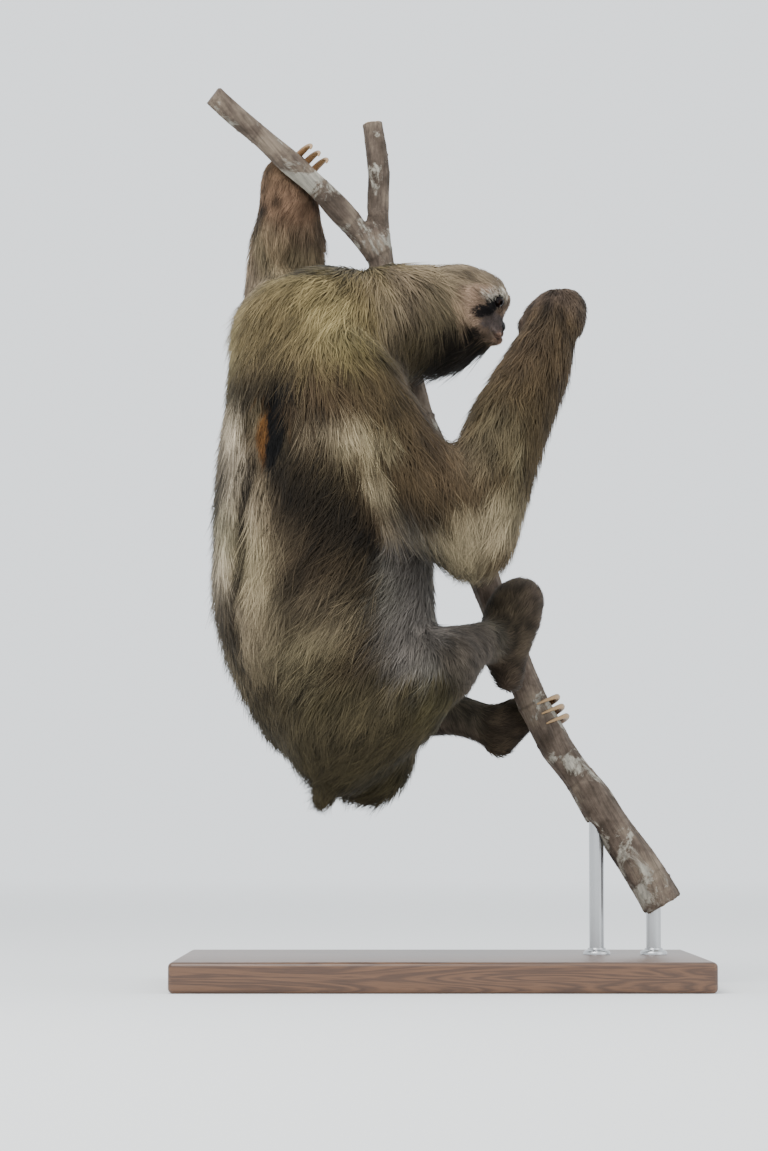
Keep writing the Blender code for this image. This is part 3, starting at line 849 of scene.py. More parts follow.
# %% [markdown]
# ## Hair: coarse keratin, grown as locks
#
# Sloth hair is dry and coarse, and it hangs in flat locks. Particle hair would be quick, but it
# isn't a mesh, so the coat is grown by Geometry Nodes. Points are scattered over the skin, and on
# each stands a three-sided spike with its root on the skin. The tree then bends every spike: it
# walks from the root along the lie of the hair in two strides, back onto the skin after each, and
# lifts the walked path into the depth of the coat, so a lock follows the body round. A share of the
# straight line is mixed in, because real hair springs away from a sharp bend.

# %% The tree that grows the coat
SPIKE_SIDES = 3
SPIKE_STEPS = 2
PATCH = 0.003  # how wide a spot of the skin's map one lock takes


def coat_tree(material):
    tree = bpy.data.node_groups.new("Coat", "GeometryNodeTree")
    tree.interface.new_socket("Skin", in_out="INPUT", socket_type="NodeSocketGeometry")
    for name, kind, value in (
        ("Locks per square metre", "NodeSocketFloat", 2.0e5),
        ("Piece", "NodeSocketInt", 0),
        ("Seed", "NodeSocketInt", 0),
        ("Springiness", "NodeSocketFloat", 0.32),
        ("Droop", "NodeSocketFloat", 0.10),
        ("Clump size", "NodeSocketFloat", 0.009),
        ("Fray", "NodeSocketFloat", 0.006),
    ):
        tree.interface.new_socket(name, in_out="INPUT", socket_type=kind).default_value = value
    tree.interface.new_socket("Coat", in_out="OUTPUT", socket_type="NodeSocketGeometry")
    given = add_node(tree, "NodeGroupInput").outputs

    def named(name, kind="FLOAT"):
        return add_node(tree, "GeometryNodeInputNamedAttribute", {"Name": name}, data_type=kind)

    here = add_node(tree, "GeometryNodeInputPosition")
    in_piece = add_node(
        tree, "ShaderNodeMath", {0: named("coat_piece", "INT"), 1: given["Piece"], 2: 0.1},
        operation="COMPARE",
    )
    crowd = add_node(
        tree, "ShaderNodeMath", {0: named("crowding"), 1: in_piece}, operation="MULTIPLY"
    )
    density = add_node(
        tree, "ShaderNodeMath", {0: crowd, 1: given["Locks per square metre"]},
        operation="MULTIPLY",
    )
    scatter = add_node(
        tree, "GeometryNodeDistributePointsOnFaces",
        {"Mesh": given["Skin"], "Density": density, "Seed": given["Seed"]},
    )
    flow = scatter.outputs["Points"]

    def keep(name, value, kind="FLOAT", domain="POINT"):
        nonlocal flow
        flow = add_node(
            tree, "GeometryNodeStoreNamedAttribute",
            {"Geometry": flow, "Name": name, "Value": value}, data_type=kind, domain=domain,
        ).outputs[0]

    keep("root", here, "FLOAT_VECTOR")
    keep("root_map", named(BAKE_MAP, "FLOAT_VECTOR"), "FLOAT_VECTOR")
    for seed, (name, low, high) in enumerate((
        ("spring", 0.0, 2.0), ("reach", 0.45, 1.05), ("bend", -0.22, 0.22),
        ("twist", 0.0, math.tau), ("longer", 0.70, 1.20), ("tone", 0.74, 1.26),
        ("fray", -1.0, 1.0),
    )):
        chance = add_node(tree, "FunctionNodeRandomValue", {2: low, 3: high, "Seed": seed})
        keep(name, chance.outputs[1])
    spike = add_node(
        tree, "GeometryNodeMeshCone",
        {"Vertices": SPIKE_SIDES, "Side Segments": SPIKE_STEPS, "Radius Top": 0.0,
         "Radius Bottom": 1.0, "Depth": 1.0},
    )
    planted = add_node(
        tree, "GeometryNodeInstanceOnPoints", {"Points": flow, "Instance": spike.outputs["Mesh"]}
    )
    flow = add_node(tree, "GeometryNodeRealizeInstances", {"Geometry": planted}).outputs[0]

    local = add_node(
        tree, "ShaderNodeVectorMath", {0: here, 1: named("root", "FLOAT_VECTOR")},
        operation="SUBTRACT",
    )
    keep("local", local, "FLOAT_VECTOR")
    local = named("local", "FLOAT_VECTOR")
    along = add_node(tree, "ShaderNodeSeparateXYZ", {0: local}).outputs["Z"]
    length = add_node(
        tree, "ShaderNodeMath", {0: named("coat_length"), 1: named("longer")},
        operation="MULTIPLY",
    )
    travel = add_node(tree, "ShaderNodeMath", {0: length, 1: along}, operation="MULTIPLY")
    stride = add_node(tree, "ShaderNodeMath", {0: travel, 1: SPIKE_STEPS}, operation="DIVIDE")

    def on_skin(value, place, kind="FLOAT_VECTOR"):
        return add_node(
            tree, "GeometryNodeSampleNearestSurface",
            {"Mesh": given["Skin"], "Value": value, "Sample Position": place}, data_type=kind,
        )

    heading = named("lie", "FLOAT_VECTOR")
    keep("walk", named("root", "FLOAT_VECTOR"), "FLOAT_VECTOR")
    walk = named("walk", "FLOAT_VECTOR")
    for _ in range(SPIKE_STEPS):
        keep("heading", heading, "FLOAT_VECTOR")
        step = add_node(
            tree, "ShaderNodeVectorMath",
            {0: named("heading", "FLOAT_VECTOR"), "Scale": stride}, operation="SCALE",
        )
        ahead = add_node(tree, "ShaderNodeVectorMath", {0: walk, 1: step}, operation="ADD")
        keep("walk", on_skin(here, ahead), "FLOAT_VECTOR")
        heading = on_skin(named("lie", "FLOAT_VECTOR"), walk)
    keep("heading", heading, "FLOAT_VECTOR")
    keep("up", on_skin(named("outward", "FLOAT_VECTOR"), walk), "FLOAT_VECTOR")
    heading, up = named("heading", "FLOAT_VECTOR"), named("up", "FLOAT_VECTOR")
    fray = add_node(
        tree, "ShaderNodeMath", {0: named("fray"), 1: given["Fray"]}, operation="MULTIPLY"
    )
    frayed = add_node(tree, "ShaderNodeVectorMath", {0: heading, "Scale": fray}, operation="SCALE")
    frayed = add_node(tree, "ShaderNodeVectorMath", {0: walk, 1: frayed}, operation="ADD")
    below = on_skin(named("coat_colour", "FLOAT_COLOR"), frayed, "FLOAT_COLOR")
    keep("coat_colour", below, "FLOAT_COLOR")

    left = add_node(tree, "ShaderNodeMath", {0: 1.0, 1: along}, operation="SUBTRACT")
    curve = add_node(tree, "ShaderNodeMath", {0: left, 1: 1.8}, operation="POWER")
    lift = add_node(tree, "ShaderNodeMath", {0: 1.0, 1: curve}, operation="SUBTRACT")
    high = add_node(
        tree, "ShaderNodeMath", {0: named("coat_depth"), 1: named("reach")}, operation="MULTIPLY"
    )
    height = add_node(
        tree, "ShaderNodeMath", {0: lift, 1: high, 2: -0.4 * MM}, operation="MULTIPLY_ADD"
    )
    raised = add_node(tree, "ShaderNodeVectorMath", {0: up, "Scale": height}, operation="SCALE")
    followed = add_node(tree, "ShaderNodeVectorMath", {0: walk, 1: raised}, operation="ADD")

    first_up = add_node(
        tree, "ShaderNodeVectorMath", {0: named("outward", "FLOAT_VECTOR"), "Scale": 0.30},
        operation="SCALE",
    )
    aim = add_node(
        tree, "ShaderNodeVectorMath", {0: named("lie", "FLOAT_VECTOR"), 1: first_up},
        operation="ADD",
    )
    aimed = add_node(tree, "ShaderNodeVectorMath", {0: aim, "Scale": travel}, operation="SCALE")
    straight = add_node(
        tree, "ShaderNodeVectorMath", {0: named("root", "FLOAT_VECTOR"), 1: aimed},
        operation="ADD",
    )
    spring = add_node(
        tree, "ShaderNodeMath", {0: named("spring"), 1: given["Springiness"]},
        operation="MULTIPLY",
    )
    path = add_node(
        tree, "ShaderNodeMix", {0: spring, 4: followed, 5: straight}, data_type="VECTOR"
    ).outputs[1]

    fineness = add_node(tree, "ShaderNodeMath", {0: 1.0, 1: given["Clump size"]}, operation="DIVIDE")
    swirl = add_node(
        tree, "ShaderNodeTexNoise",
        {"Vector": named("root", "FLOAT_VECTOR"), "Scale": fineness, "Detail": 1.0},
    )
    sway = add_node(
        tree, "ShaderNodeMapRange", {0: swirl.outputs[0], 1: 0.3, 2: 0.7, 3: -0.30, 4: 0.30}
    )
    lean = add_node(tree, "ShaderNodeMath", {0: sway, 1: named("bend")}, operation="ADD")
    late = add_node(tree, "ShaderNodeMath", {0: travel, 1: along}, operation="MULTIPLY")
    swung = add_node(tree, "ShaderNodeMath", {0: lean, 1: late}, operation="MULTIPLY")
    side = add_node(tree, "ShaderNodeVectorMath", {0: up, 1: heading}, operation="CROSS_PRODUCT")
    sideways = add_node(tree, "ShaderNodeVectorMath", {0: side, "Scale": swung}, operation="SCALE")
    sag = add_node(tree, "ShaderNodeMath", {0: late, 1: given["Droop"]}, operation="MULTIPLY")
    sag = add_node(tree, "ShaderNodeMath", {0: sag, 1: -1.0}, operation="MULTIPLY")
    sagged = add_node(tree, "ShaderNodeCombineXYZ", {"Z": sag})
    path = add_node(tree, "ShaderNodeVectorMath", {0: path, 1: sideways}, operation="ADD")
    path = add_node(tree, "ShaderNodeVectorMath", {0: path, 1: sagged}, operation="ADD")

    turned = add_node(
        tree, "ShaderNodeVectorRotate", {"Vector": local, "Angle": named("twist")},
        rotation_type="Z_AXIS",
    )
    cross = add_node(tree, "ShaderNodeSeparateXYZ", {0: turned})
    fuller = add_node(
        tree, "ShaderNodeMath", {0: along, 1: 1.4, 2: 0.6}, operation="MULTIPLY_ADD"
    )
    half = add_node(
        tree, "ShaderNodeMath", {0: named("coat_width"), 1: 0.5}, operation="MULTIPLY"
    )
    half = add_node(tree, "ShaderNodeMath", {0: half, 1: fuller}, operation="MULTIPLY")
    wide = add_node(
        tree, "ShaderNodeMath", {0: cross.outputs["X"], 1: half}, operation="MULTIPLY"
    )
    thin = add_node(
        tree, "ShaderNodeMath", {0: cross.outputs["Y"], 1: half}, operation="MULTIPLY"
    )
    wide = add_node(tree, "ShaderNodeVectorMath", {0: side, "Scale": wide}, operation="SCALE")
    thin = add_node(tree, "ShaderNodeVectorMath", {0: up, "Scale": thin}, operation="SCALE")
    path = add_node(tree, "ShaderNodeVectorMath", {0: path, 1: wide}, operation="ADD")
    path = add_node(tree, "ShaderNodeVectorMath", {0: path, 1: thin}, operation="ADD")

    shade = add_node(
        tree, "ShaderNodeMapRange", {0: along, 1: 0.0, 2: 1.0, 3: 0.55, 4: 1.25}
    )
    shade = add_node(tree, "ShaderNodeMath", {0: shade, 1: named("tone")}, operation="MULTIPLY")
    clump = add_node(
        tree, "ShaderNodeTexNoise",
        {"Vector": named("root", "FLOAT_VECTOR"), "Scale": 1 / (10 * MM), "Detail": 2.0},
    )
    clump = add_node(tree, "ShaderNodeMapRange", {0: clump, 1: 0.3, 2: 0.7, 3: 0.42, 4: 1.58})
    shade = add_node(tree, "ShaderNodeMath", {0: shade, 1: clump}, operation="MULTIPLY")
    keep("shade", shade)
    spot = add_node(
        tree, "ShaderNodeCombineXYZ", {"X": cross.outputs["X"], "Y": along}
    )
    spot = add_node(
        tree, "ShaderNodeVectorMath", {0: spot, "Scale": PATCH / 2}, operation="SCALE"
    )
    spot = add_node(
        tree, "ShaderNodeVectorMath", {0: spot, 1: named("root_map", "FLOAT_VECTOR")},
        operation="ADD",
    )
    keep(BAKE_MAP, spot, "FLOAT2", "CORNER")
    flow = add_node(
        tree, "GeometryNodeSetPosition", {"Geometry": flow, "Position": path}
    ).outputs[0]
    wide = add_node(
        tree, "ShaderNodeVectorMath", {0: side, "Scale": cross.outputs["X"]}, operation="SCALE"
    )
    thin = add_node(
        tree, "ShaderNodeVectorMath", {0: up, "Scale": cross.outputs["Y"]}, operation="SCALE"
    )
    facing = add_node(tree, "ShaderNodeVectorMath", {0: wide, 1: thin}, operation="ADD")
    facing = add_node(
        tree, "ShaderNodeVectorMath", {0: facing, "Scale": 0.7}, operation="SCALE"
    )
    facing = add_node(tree, "ShaderNodeVectorMath", {0: facing, 1: up}, operation="ADD")
    facing = add_node(tree, "ShaderNodeVectorMath", {0: facing}, operation="NORMALIZE")
    flow = add_node(
        tree, "GeometryNodeSetMeshNormal", {"Mesh": flow, "Custom Normal": facing}, mode="FREE"
    ).outputs[0]
    flow = add_node(tree, "GeometryNodeRealizeInstances", {"Geometry": flow}).outputs[0]
    flow = add_node(
        tree, "GeometryNodeSetMaterial", {"Geometry": flow, "Material": material}
    ).outputs[0]
    add_node(tree, "NodeGroupOutput", {0: flow})
    return tree


# %% [markdown]
# ## Materials of the animal
#
# Hair is keratin with a rough, scaly surface: it scatters light, has next to no gloss, and its
# edges catch a soft sheen. A lock is darker at its root, in the shade of its neighbours, and
# bleached towards its tip. The skin below carries the same colours, darker, with a fine streaky
# relief, so that where the coat parts nothing pale shines through.

# %% Hair and hide
def new_material(name):
    made = bpy.data.materials.new(name)
    made.use_nodes = True
    return made, made.node_tree, made.node_tree.nodes["Principled BSDF"]


def hair_material():
    """Dry keratin hair: matt, with a soft sheen at grazing angles."""
    made, tree, shader = new_material("sloth_hair")
    colour = add_node(tree, "ShaderNodeAttribute", attribute_name="coat_colour")
    shade = add_node(tree, "ShaderNodeAttribute", attribute_name="shade")
    mixed = add_node(
        tree, "ShaderNodeVectorMath", {0: colour, "Scale": shade.outputs["Fac"]},
        operation="SCALE",
    )
    tree.links.new(mixed.outputs[0], shader.inputs["Base Color"])
    shader.inputs["Roughness"].default_value = 0.72
    shader.inputs["Specular IOR Level"].default_value = 0.15
    shader.inputs["Sheen Weight"].default_value = 0.06
    shader.inputs["Sheen Roughness"].default_value = 0.5
    return made


def hide_material():
    """Skin with a nap of the shortest hair: the coat's colours in its own shade."""
    made, tree, shader = new_material("sloth_hide")
    colour = add_node(tree, "ShaderNodeAttribute", attribute_name="coat_colour")
    mixed = add_node(tree, "ShaderNodeVectorMath", {0: colour, "Scale": 0.6}, operation="SCALE")
    tree.links.new(mixed.outputs[0], shader.inputs["Base Color"])
    where = add_node(tree, "ShaderNodeTexCoord")
    nap = add_node(
        tree, "ShaderNodeTexNoise",
        {"Vector": where.outputs["Object"], "Scale": 1 / (1.2 * MM), "Detail": 3.0},
    )
    bump = add_node(
        tree, "ShaderNodeBump", {"Height": nap, "Strength": 0.5, "Distance": 0.3 * MM}
    )
    tree.links.new(bump.outputs[0], shader.inputs["Normal"])
    shader.inputs["Roughness"].default_value = 0.8
    shader.inputs["Specular IOR Level"].default_value = 0.2
    return made


hair = hair_material()
dress(skin.data, hide_material())

# %% [markdown]
# ## Grow the coat, piece by piece
#
# A single mesh of the whole coat would be too heavy to handle, so it is grown in pieces, each from
# its own stretch of the skin. The pieces overlap like tiles and show no border, because a lock
# belongs to the piece in which its root stands and lies over the next one.

# %% Divide the skin and grow each piece
PIECES = [
    "coat_head", "coat_neck", "coat_shoulders", "coat_back", "coat_loins", "coat_rump",
    "coat_upper_arm_r", "coat_forearm_r", "coat_arm_l", "coat_leg_r", "coat_leg_l",
]
PIECE_OF_PART = {
    "neck": 1, "head": 0, "tail": 5, "upper_arm_r": 6, "forearm_r": 7, "hand_r": 7,
    "upper_arm_l": 8, "forearm_l": 8, "hand_l": 8, "thigh_r": 9, "shin_r": 9, "foot_r": 9,
    "thigh_l": 10, "shin_l": 10, "foot_l": 10, "trunk": 5,
}
TRUNK_CUTS = (0.245, 0.335, 0.425)
LOCKS = 3.7e5


def piece_of_faces(mesh):
    """The number of the coat piece that each face of the skin belongs to."""
    first = np.array([face.vertices[0] for face in mesh.polygons])
    part = shares[first].argmax(1)
    number = np.array([PIECE_OF_PART[name] for name in PARTS])[part]
    level = np.searchsorted(TRUNK_CUTS, places[first, 2])
    return np.where(part == PARTS.index("trunk"), 5 - level, number)


def grow(tree, name, number):
    """Grows one piece of the coat from the skin and returns it as a plain mesh piece."""
    piece = new_piece(name, skin.data)
    growth = piece.modifiers.new("Coat", "NODES")
    growth.node_group = tree
    sockets = {item.name: item.identifier for item in tree.interface.items_tree}
    growth[sockets["Piece"]] = number
    growth[sockets["Seed"]] = 100 + number
    growth[sockets["Locks per square metre"]] = LOCKS
    applied(piece)
    for key in [layer.name for layer in piece.data.attributes]:
        layer = piece.data.attributes[key]
        wanted = key in ("coat_colour", "shade", "custom_normal", BAKE_MAP)
        if not (wanted or key.startswith(".") or layer.is_required):
            piece.data.attributes.remove(layer)
    piece.data.materials.clear()
    piece.data.materials.append(hair)
    return piece


store(skin.data, "coat_piece", piece_of_faces(skin.data), "INT", "FACE")
coat = coat_tree(hair)
coat_pieces = [grow(coat, name, number) for number, name in enumerate(PIECES)]
for piece in coat_pieces:
    piece.data.calc_loop_triangles()
    print(f"{piece.name}: {len(piece.data.loop_triangles)} triangles")
print("coat:", sum(len(piece.data.loop_triangles) for piece in coat_pieces), "triangles")

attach(skin, "root")
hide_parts(*PARTS)
for piece in coat_pieces:
    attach(piece, "root")

# %% [markdown]
# ## Eyes
#
# The eyes are small, dark and wet. Each is a ball whose front bulges a little under the clear
# cornea. The rings of its colour are worked out from the angle to the line of sight: a round
# pupil, a dark brown iris with fine spokes, and a brown rim that the lids nearly cover.

# %% Make the eyes
def eye_material():
    """A wet cornea over a dark iris: near black, with one clear highlight."""
    made, tree, shader = new_material("wet_eye")
    colour = add_node(tree, "ShaderNodeAttribute", attribute_name="iris_colour")
    tree.links.new(colour.outputs["Color"], shader.inputs["Base Color"])
    shader.inputs["Roughness"].default_value = 0.06
    shader.inputs["Specular IOR Level"].default_value = 0.12
    return made


def ball(name, cuts):
    mesh = bmesh.new()
    bmesh.ops.create_icosphere(mesh, subdivisions=cuts, radius=1)
    return as_mesh(name, mesh)


def eyeball(side, material):
    data = ball(f"eyeball_{side}", 5)
    rays = unit(places_of(data))
    gaze = HEAD_AXES @ gaze_axes(side)[0]
    angle = np.degrees(np.arccos(np.clip(rays @ gaze, -1, 1)))
    bulge = 0.35 * MM * ramp(-angle, -46, -22)
    move_to(data, set_in(side) + rays * (EYE_RADIUS - 0.15 * MM + bulge)[:, None])
    around = np.arctan2(rays @ np.cross(gaze, [0, 0, 1]), rays[:, 2])
    spokes = 1 + 0.25 * np.sin(around * 31) * ramp(angle, 16, 24)
    colours = np.tile(linear("#0e0806"), (len(rays), 1))
    colours = blend(colours, linear("#1e110b"), ramp(-angle, -40, -34) * 0.9) * spokes[:, None]
    colours = blend(colours, linear("#030202"), ramp(-angle, -22, -18))
    store(data, "iris_colour", np.column_stack([colours, np.ones(len(rays))]), "FLOAT_COLOR")
    dress(data, material)
    return new_piece(f"eyeball_{side}", data)


wet_eye = eye_material()
for side in "rl":
    piece = eyeball(side, wet_eye)
    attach(piece, "root")
    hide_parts(f"eye_{side}")
print("eyes:", round(EYE_RADIUS * 2000, 1), "mm across")

# %% [markdown]
# ## Nose
#
# The nose is a bare leathery pad as wide as a bean, black-brown, with round nostrils that open
# forward and down. It starts as a ball of its CAD solid's size. The nostrils are pits pushed in
# along the line of sight, and a groove splits the pad below.

# %% Make the nose
def leather_material():
    """Moist bare hide: dark, finely pebbled, with a soft gloss."""
    made, tree, shader = new_material("nose_leather")
    where = add_node(tree, "ShaderNodeTexCoord")
    pebble = add_node(
        tree, "ShaderNodeTexVoronoi",
        {"Vector": where.outputs["Object"], "Scale": 1 / (0.9 * MM)},
        feature="DISTANCE_TO_EDGE",
    )
    bump = add_node(
        tree, "ShaderNodeBump", {"Height": pebble, "Strength": 0.6, "Distance": 0.15 * MM}
    )
    tree.links.new(bump.outputs[0], shader.inputs["Normal"])
    shader.inputs["Base Color"].default_value = (*linear("#161211"), 1)
    shader.inputs["Roughness"].default_value = 0.58
    shader.inputs["Specular IOR Level"].default_value = 0.25
    return made


def nose_pad():
    data = ball("nose_pad", 6)
    ahead, across, height = unit(places_of(data)).T
    half = np.array([3.9, 7.6, 4.7])
    pad = np.column_stack([ahead, across, height]) * half
    pad[:, 1] *= 1 - 0.25 * ramp(-height, 0.2, 1.0)
    for sign in (-1, 1):
        aside = sign * pad[:, 1] - 3.7
        pit = np.hypot(aside / 1.5, (pad[:, 2] + 0.9 - 0.35 * aside) / 1.25)
        pad[:, 0] -= 2.8 * ramp(-pit, -1.25, -0.6) * ramp(ahead, 0.1, 0.4)
        pad[:, 0] += 0.35 * bump(pit, 1.7, 0.45) * ramp(ahead, 0.1, 0.4)
    pad[:, 0] -= 0.7 * bump(pad[:, 1], 0, 0.5) * ramp(-pad[:, 2], -1.5, 1.5)
    pad = pad + 0.10 * ripple(pad, 2.0, 3)[:, None] * unit(pad)
    move_to(data, middle("nose") + (pad - [0.6, 0, 0]) * MM @ HEAD_AXES.T)
    dress(data, leather_material())
    return new_piece("nose_pad", data)


nose = nose_pad()
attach(nose, "root")
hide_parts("nose")
print("nose:", len(nose.data.polygons), "faces")

# %% [markdown]
# ## Claws: horn
#
# Each hand and foot ends in three long hooks of horn, cream at the tip and stained brown where they
# leave the hair. The CAD solids already hold the curve. One subdivision rounds them, and the horn
# gets its colour and its fine long streaks from how far along the claw a point lies.

# %% Make the claws
def horn_material():
    """Horn: dense and smooth, slightly waxy, darker and rougher at the root."""
    made, tree, shader = new_material("claw_horn")
    along = add_node(tree, "ShaderNodeAttribute", attribute_name="along")
    grain = add_node(tree, "ShaderNodeAttribute", attribute_name="grain")
    streak = add_node(
        tree, "ShaderNodeTexNoise",
        {"Vector": grain.outputs["Vector"], "Scale": 1 / (0.9 * MM), "Detail": 3.0},
    )
    mixed = add_node(
        tree, "ShaderNodeMath", {0: streak, 1: 0.35, 2: along.outputs["Fac"]},
        operation="MULTIPLY_ADD",
    )
    colour = add_node(tree, "ShaderNodeValToRGB", {"Fac": mixed})
    stops = colour.color_ramp.elements
    stops[0].position, stops[0].color = 0.12, (*linear("#2c1f15"), 1)
    stops[1].position, stops[1].color = 1.0, (*linear("#977a56"), 1)
    for place, shade in ((0.35, "#5a4029"), (0.70, "#836242")):
        stops.new(place).color = (*linear(shade), 1)
    tree.links.new(colour.outputs["Color"], shader.inputs["Base Color"])
    bump = add_node(
        tree, "ShaderNodeBump", {"Height": streak, "Strength": 0.35, "Distance": 0.15 * MM}
    )
    tree.links.new(bump.outputs[0], shader.inputs["Normal"])
    shader.inputs["Roughness"].default_value = 0.45
    shader.inputs["Specular IOR Level"].default_value = 0.35
    return made


def claw(node, paw, material):
    """One claw as smooth horn, with the way along it from root (0) to tip (1)."""
    piece = new_piece(node + "_horn", as_mesh(node + "_horn", merged_copy(node)))
    smooth = piece.modifiers.new("Smooth", "SUBSURF")
    smooth.levels = smooth.render_levels = 2
    applied(piece)
    places = places_of(piece.data)
    root = places[np.linalg.norm(places - middle(paw), axis=1).argmin()]
    reach = np.linalg.norm(places - root, axis=1)
    store(piece.data, "along", reach / reach.max())
    axis = np.linalg.svd(places - places.mean(0), full_matrices=False)[2][0]
    store(piece.data, "grain", places - np.outer(places @ axis, axis) * 0.9, "FLOAT_VECTOR")
    dress(piece.data, material)
    return piece


horn = horn_material()
CLAWS = [
    f"claw_{paw}_{number}"
    for paw in ("hand_r", "hand_l", "foot_r", "foot_l")
    for number in (1, 2, 3)
]
for node in CLAWS:
    piece = claw(node, node[5:-2], horn)
    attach(piece, "root")
    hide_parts(node)
print("claws:", len(CLAWS))

# %% [markdown]
# ## The perch: bark on a cut stem
#
# The stem is a length of living wood, forked near its top and sawn off at its ends. Its bark is
# thin and grey, with shallow ring scars, small warts, and crusts of pale lichen. To run rings round
# the wood and cracks along it, each point has to know how far along its limb it lies. The centre
# lines come from level slices of the CAD solid: one blob in a slice is the stem, and two are the
# stem and its branch.

# %% Centre lines of stem and branch
SLICE = 6 * MM


def centre_lines(places):
    """Centres of the stem's and the branch's slices, from the top down."""
    stem, branch = [], []
    for level in np.arange(places[:, 2].max() - SLICE, places[:, 2].min() + SLICE, -SLICE):
        near = places[abs(places[:, 2] - level) < SLICE]
        near = near[near[:, 0].argsort()]
        gaps = np.diff(near[:, 0])
        cut = gaps.argmax() + 1
        if gaps.max() > 5 * MM:
            stem.append(near[:cut].mean(0))
            branch.append(near[cut:].mean(0))
        else:
            stem.append(near.mean(0))
    return [spread_line(np.array(line)) for line in (stem, branch)]


def spread_line(line, rounds=6):
    for _ in range(rounds):
        line[1:-1] = (line[:-2] + 2 * line[1:-1] + line[2:]) / 4
    return line


def on_limb(places, line):
    """Distance from a centre line, way along it, and the way across it, for each place."""
    best = np.full(len(places), 9.0)
    along = np.zeros(len(places))
    across = np.zeros((len(places), 3))
    travelled = 0.0
    for start, end in zip(line[:-1], line[1:]):
        step = end - start
        size = np.linalg.norm(step)
        t = np.clip((places - start) @ step / size ** 2, 0, 1)
        off = places - start - np.outer(t, step)
        distance = np.linalg.norm(off, axis=1)
        closer = distance < best
        best[closer] = distance[closer]
        along[closer] = travelled + t[closer] * size
        across[closer] = off[closer]
        travelled += size
    return best, along, across


# %% Make the bark
def bark_material():
    """Thin grey bark with pale crusts of lichen, and raw wood on the sawn ends."""
    made, tree, shader = new_material("bark")
    grain = add_node(tree, "ShaderNodeAttribute", attribute_name="grain").outputs["Vector"]
    where = add_node(tree, "ShaderNodeTexCoord").outputs["Object"]
    mottle = add_node(
        tree, "ShaderNodeTexNoise", {"Vector": where, "Scale": 1 / (26 * MM), "Detail": 6.0,
                                     "Roughness": 0.62}
    )
    fine = add_node(
        tree, "ShaderNodeTexNoise", {"Vector": grain, "Scale": 1 / (3 * MM), "Detail": 6.0,
                                     "Roughness": 0.7}
    )
    colour = add_node(tree, "ShaderNodeValToRGB", {"Fac": mottle})
    colour.color_ramp.elements[0].position = 0.34
    colour.color_ramp.elements[0].color = (*linear("#3f352c"), 1)
    colour.color_ramp.elements[1].position = 0.66
    colour.color_ramp.elements[1].color = (*linear("#776a5c"), 1)
    middle_stop = colour.color_ramp.elements.new(0.5)
    middle_stop.color = (*linear("#5b4f45"), 1)
    crust = add_node(
        tree, "ShaderNodeTexNoise", {"Vector": where, "Scale": 1 / (34 * MM), "Detail": 8.0,
                                     "Roughness": 0.7, "Distortion": 0.6}
    )
    crust = add_node(tree, "ShaderNodeMapRange", {0: crust, 1: 0.54, 2: 0.60})
    bark = add_node(
        tree, "ShaderNodeMix", {0: crust, 6: colour, 7: (*linear("#989387"), 1)},
        data_type="RGBA",
    ).outputs[2]
    dark = add_node(tree, "ShaderNodeMapRange", {0: fine, 1: 0.35, 2: 0.6, 3: 0.55, 4: 1.1})
    bark = add_node(tree, "ShaderNodeVectorMath", {0: bark, "Scale": dark}, operation="SCALE")
    worn = add_node(tree, "ShaderNodeAttribute", attribute_name="ring_scar")
    bark = add_node(
        tree, "ShaderNodeMix", {0: worn.outputs["Fac"], 6: bark, 7: (*linear("#30271f"), 1)},
        data_type="RGBA",
    ).outputs[2]
    radius = add_node(tree, "ShaderNodeAttribute", attribute_name="radius").outputs["Fac"]
    wobble = add_node(
        tree, "ShaderNodeMath", {0: mottle, 1: 2 * MM, 2: radius}, operation="MULTIPLY_ADD"
    )
    rings = add_node(
        tree, "ShaderNodeMath", {0: wobble, 1: math.tau / (1.6 * MM)}, operation="MULTIPLY"
    )
    rings = add_node(tree, "ShaderNodeMath", {0: rings}, operation="SINE")
    rings = add_node(tree, "ShaderNodeMapRange", {0: rings, 1: -1.0, 2: 1.0})
    wood = add_node(
        tree, "ShaderNodeMix",
        {0: rings, 6: (*linear("#c9a876"), 1), 7: (*linear("#a07f52"), 1)}, data_type="RGBA",
    ).outputs[2]
    sawn = add_node(tree, "ShaderNodeAttribute", attribute_name="sawn").outputs["Fac"]
    both = add_node(tree, "ShaderNodeMix", {0: sawn, 6: bark, 7: wood}, data_type="RGBA").outputs[2]
    tree.links.new(both, shader.inputs["Base Color"])
    bump = add_node(
        tree, "ShaderNodeBump", {"Height": fine, "Strength": 0.8, "Distance": 0.7 * MM}
    )
    scaly = add_node(
        tree, "ShaderNodeBump",
        {"Height": crust, "Strength": 0.5, "Distance": 0.4 * MM, "Normal": bump},
    )
    tree.links.new(scaly.outputs[0], shader.inputs["Normal"])
    shader.inputs["Roughness"].default_value = 0.85
    shader.inputs["Specular IOR Level"].default_value = 0.25
    return made


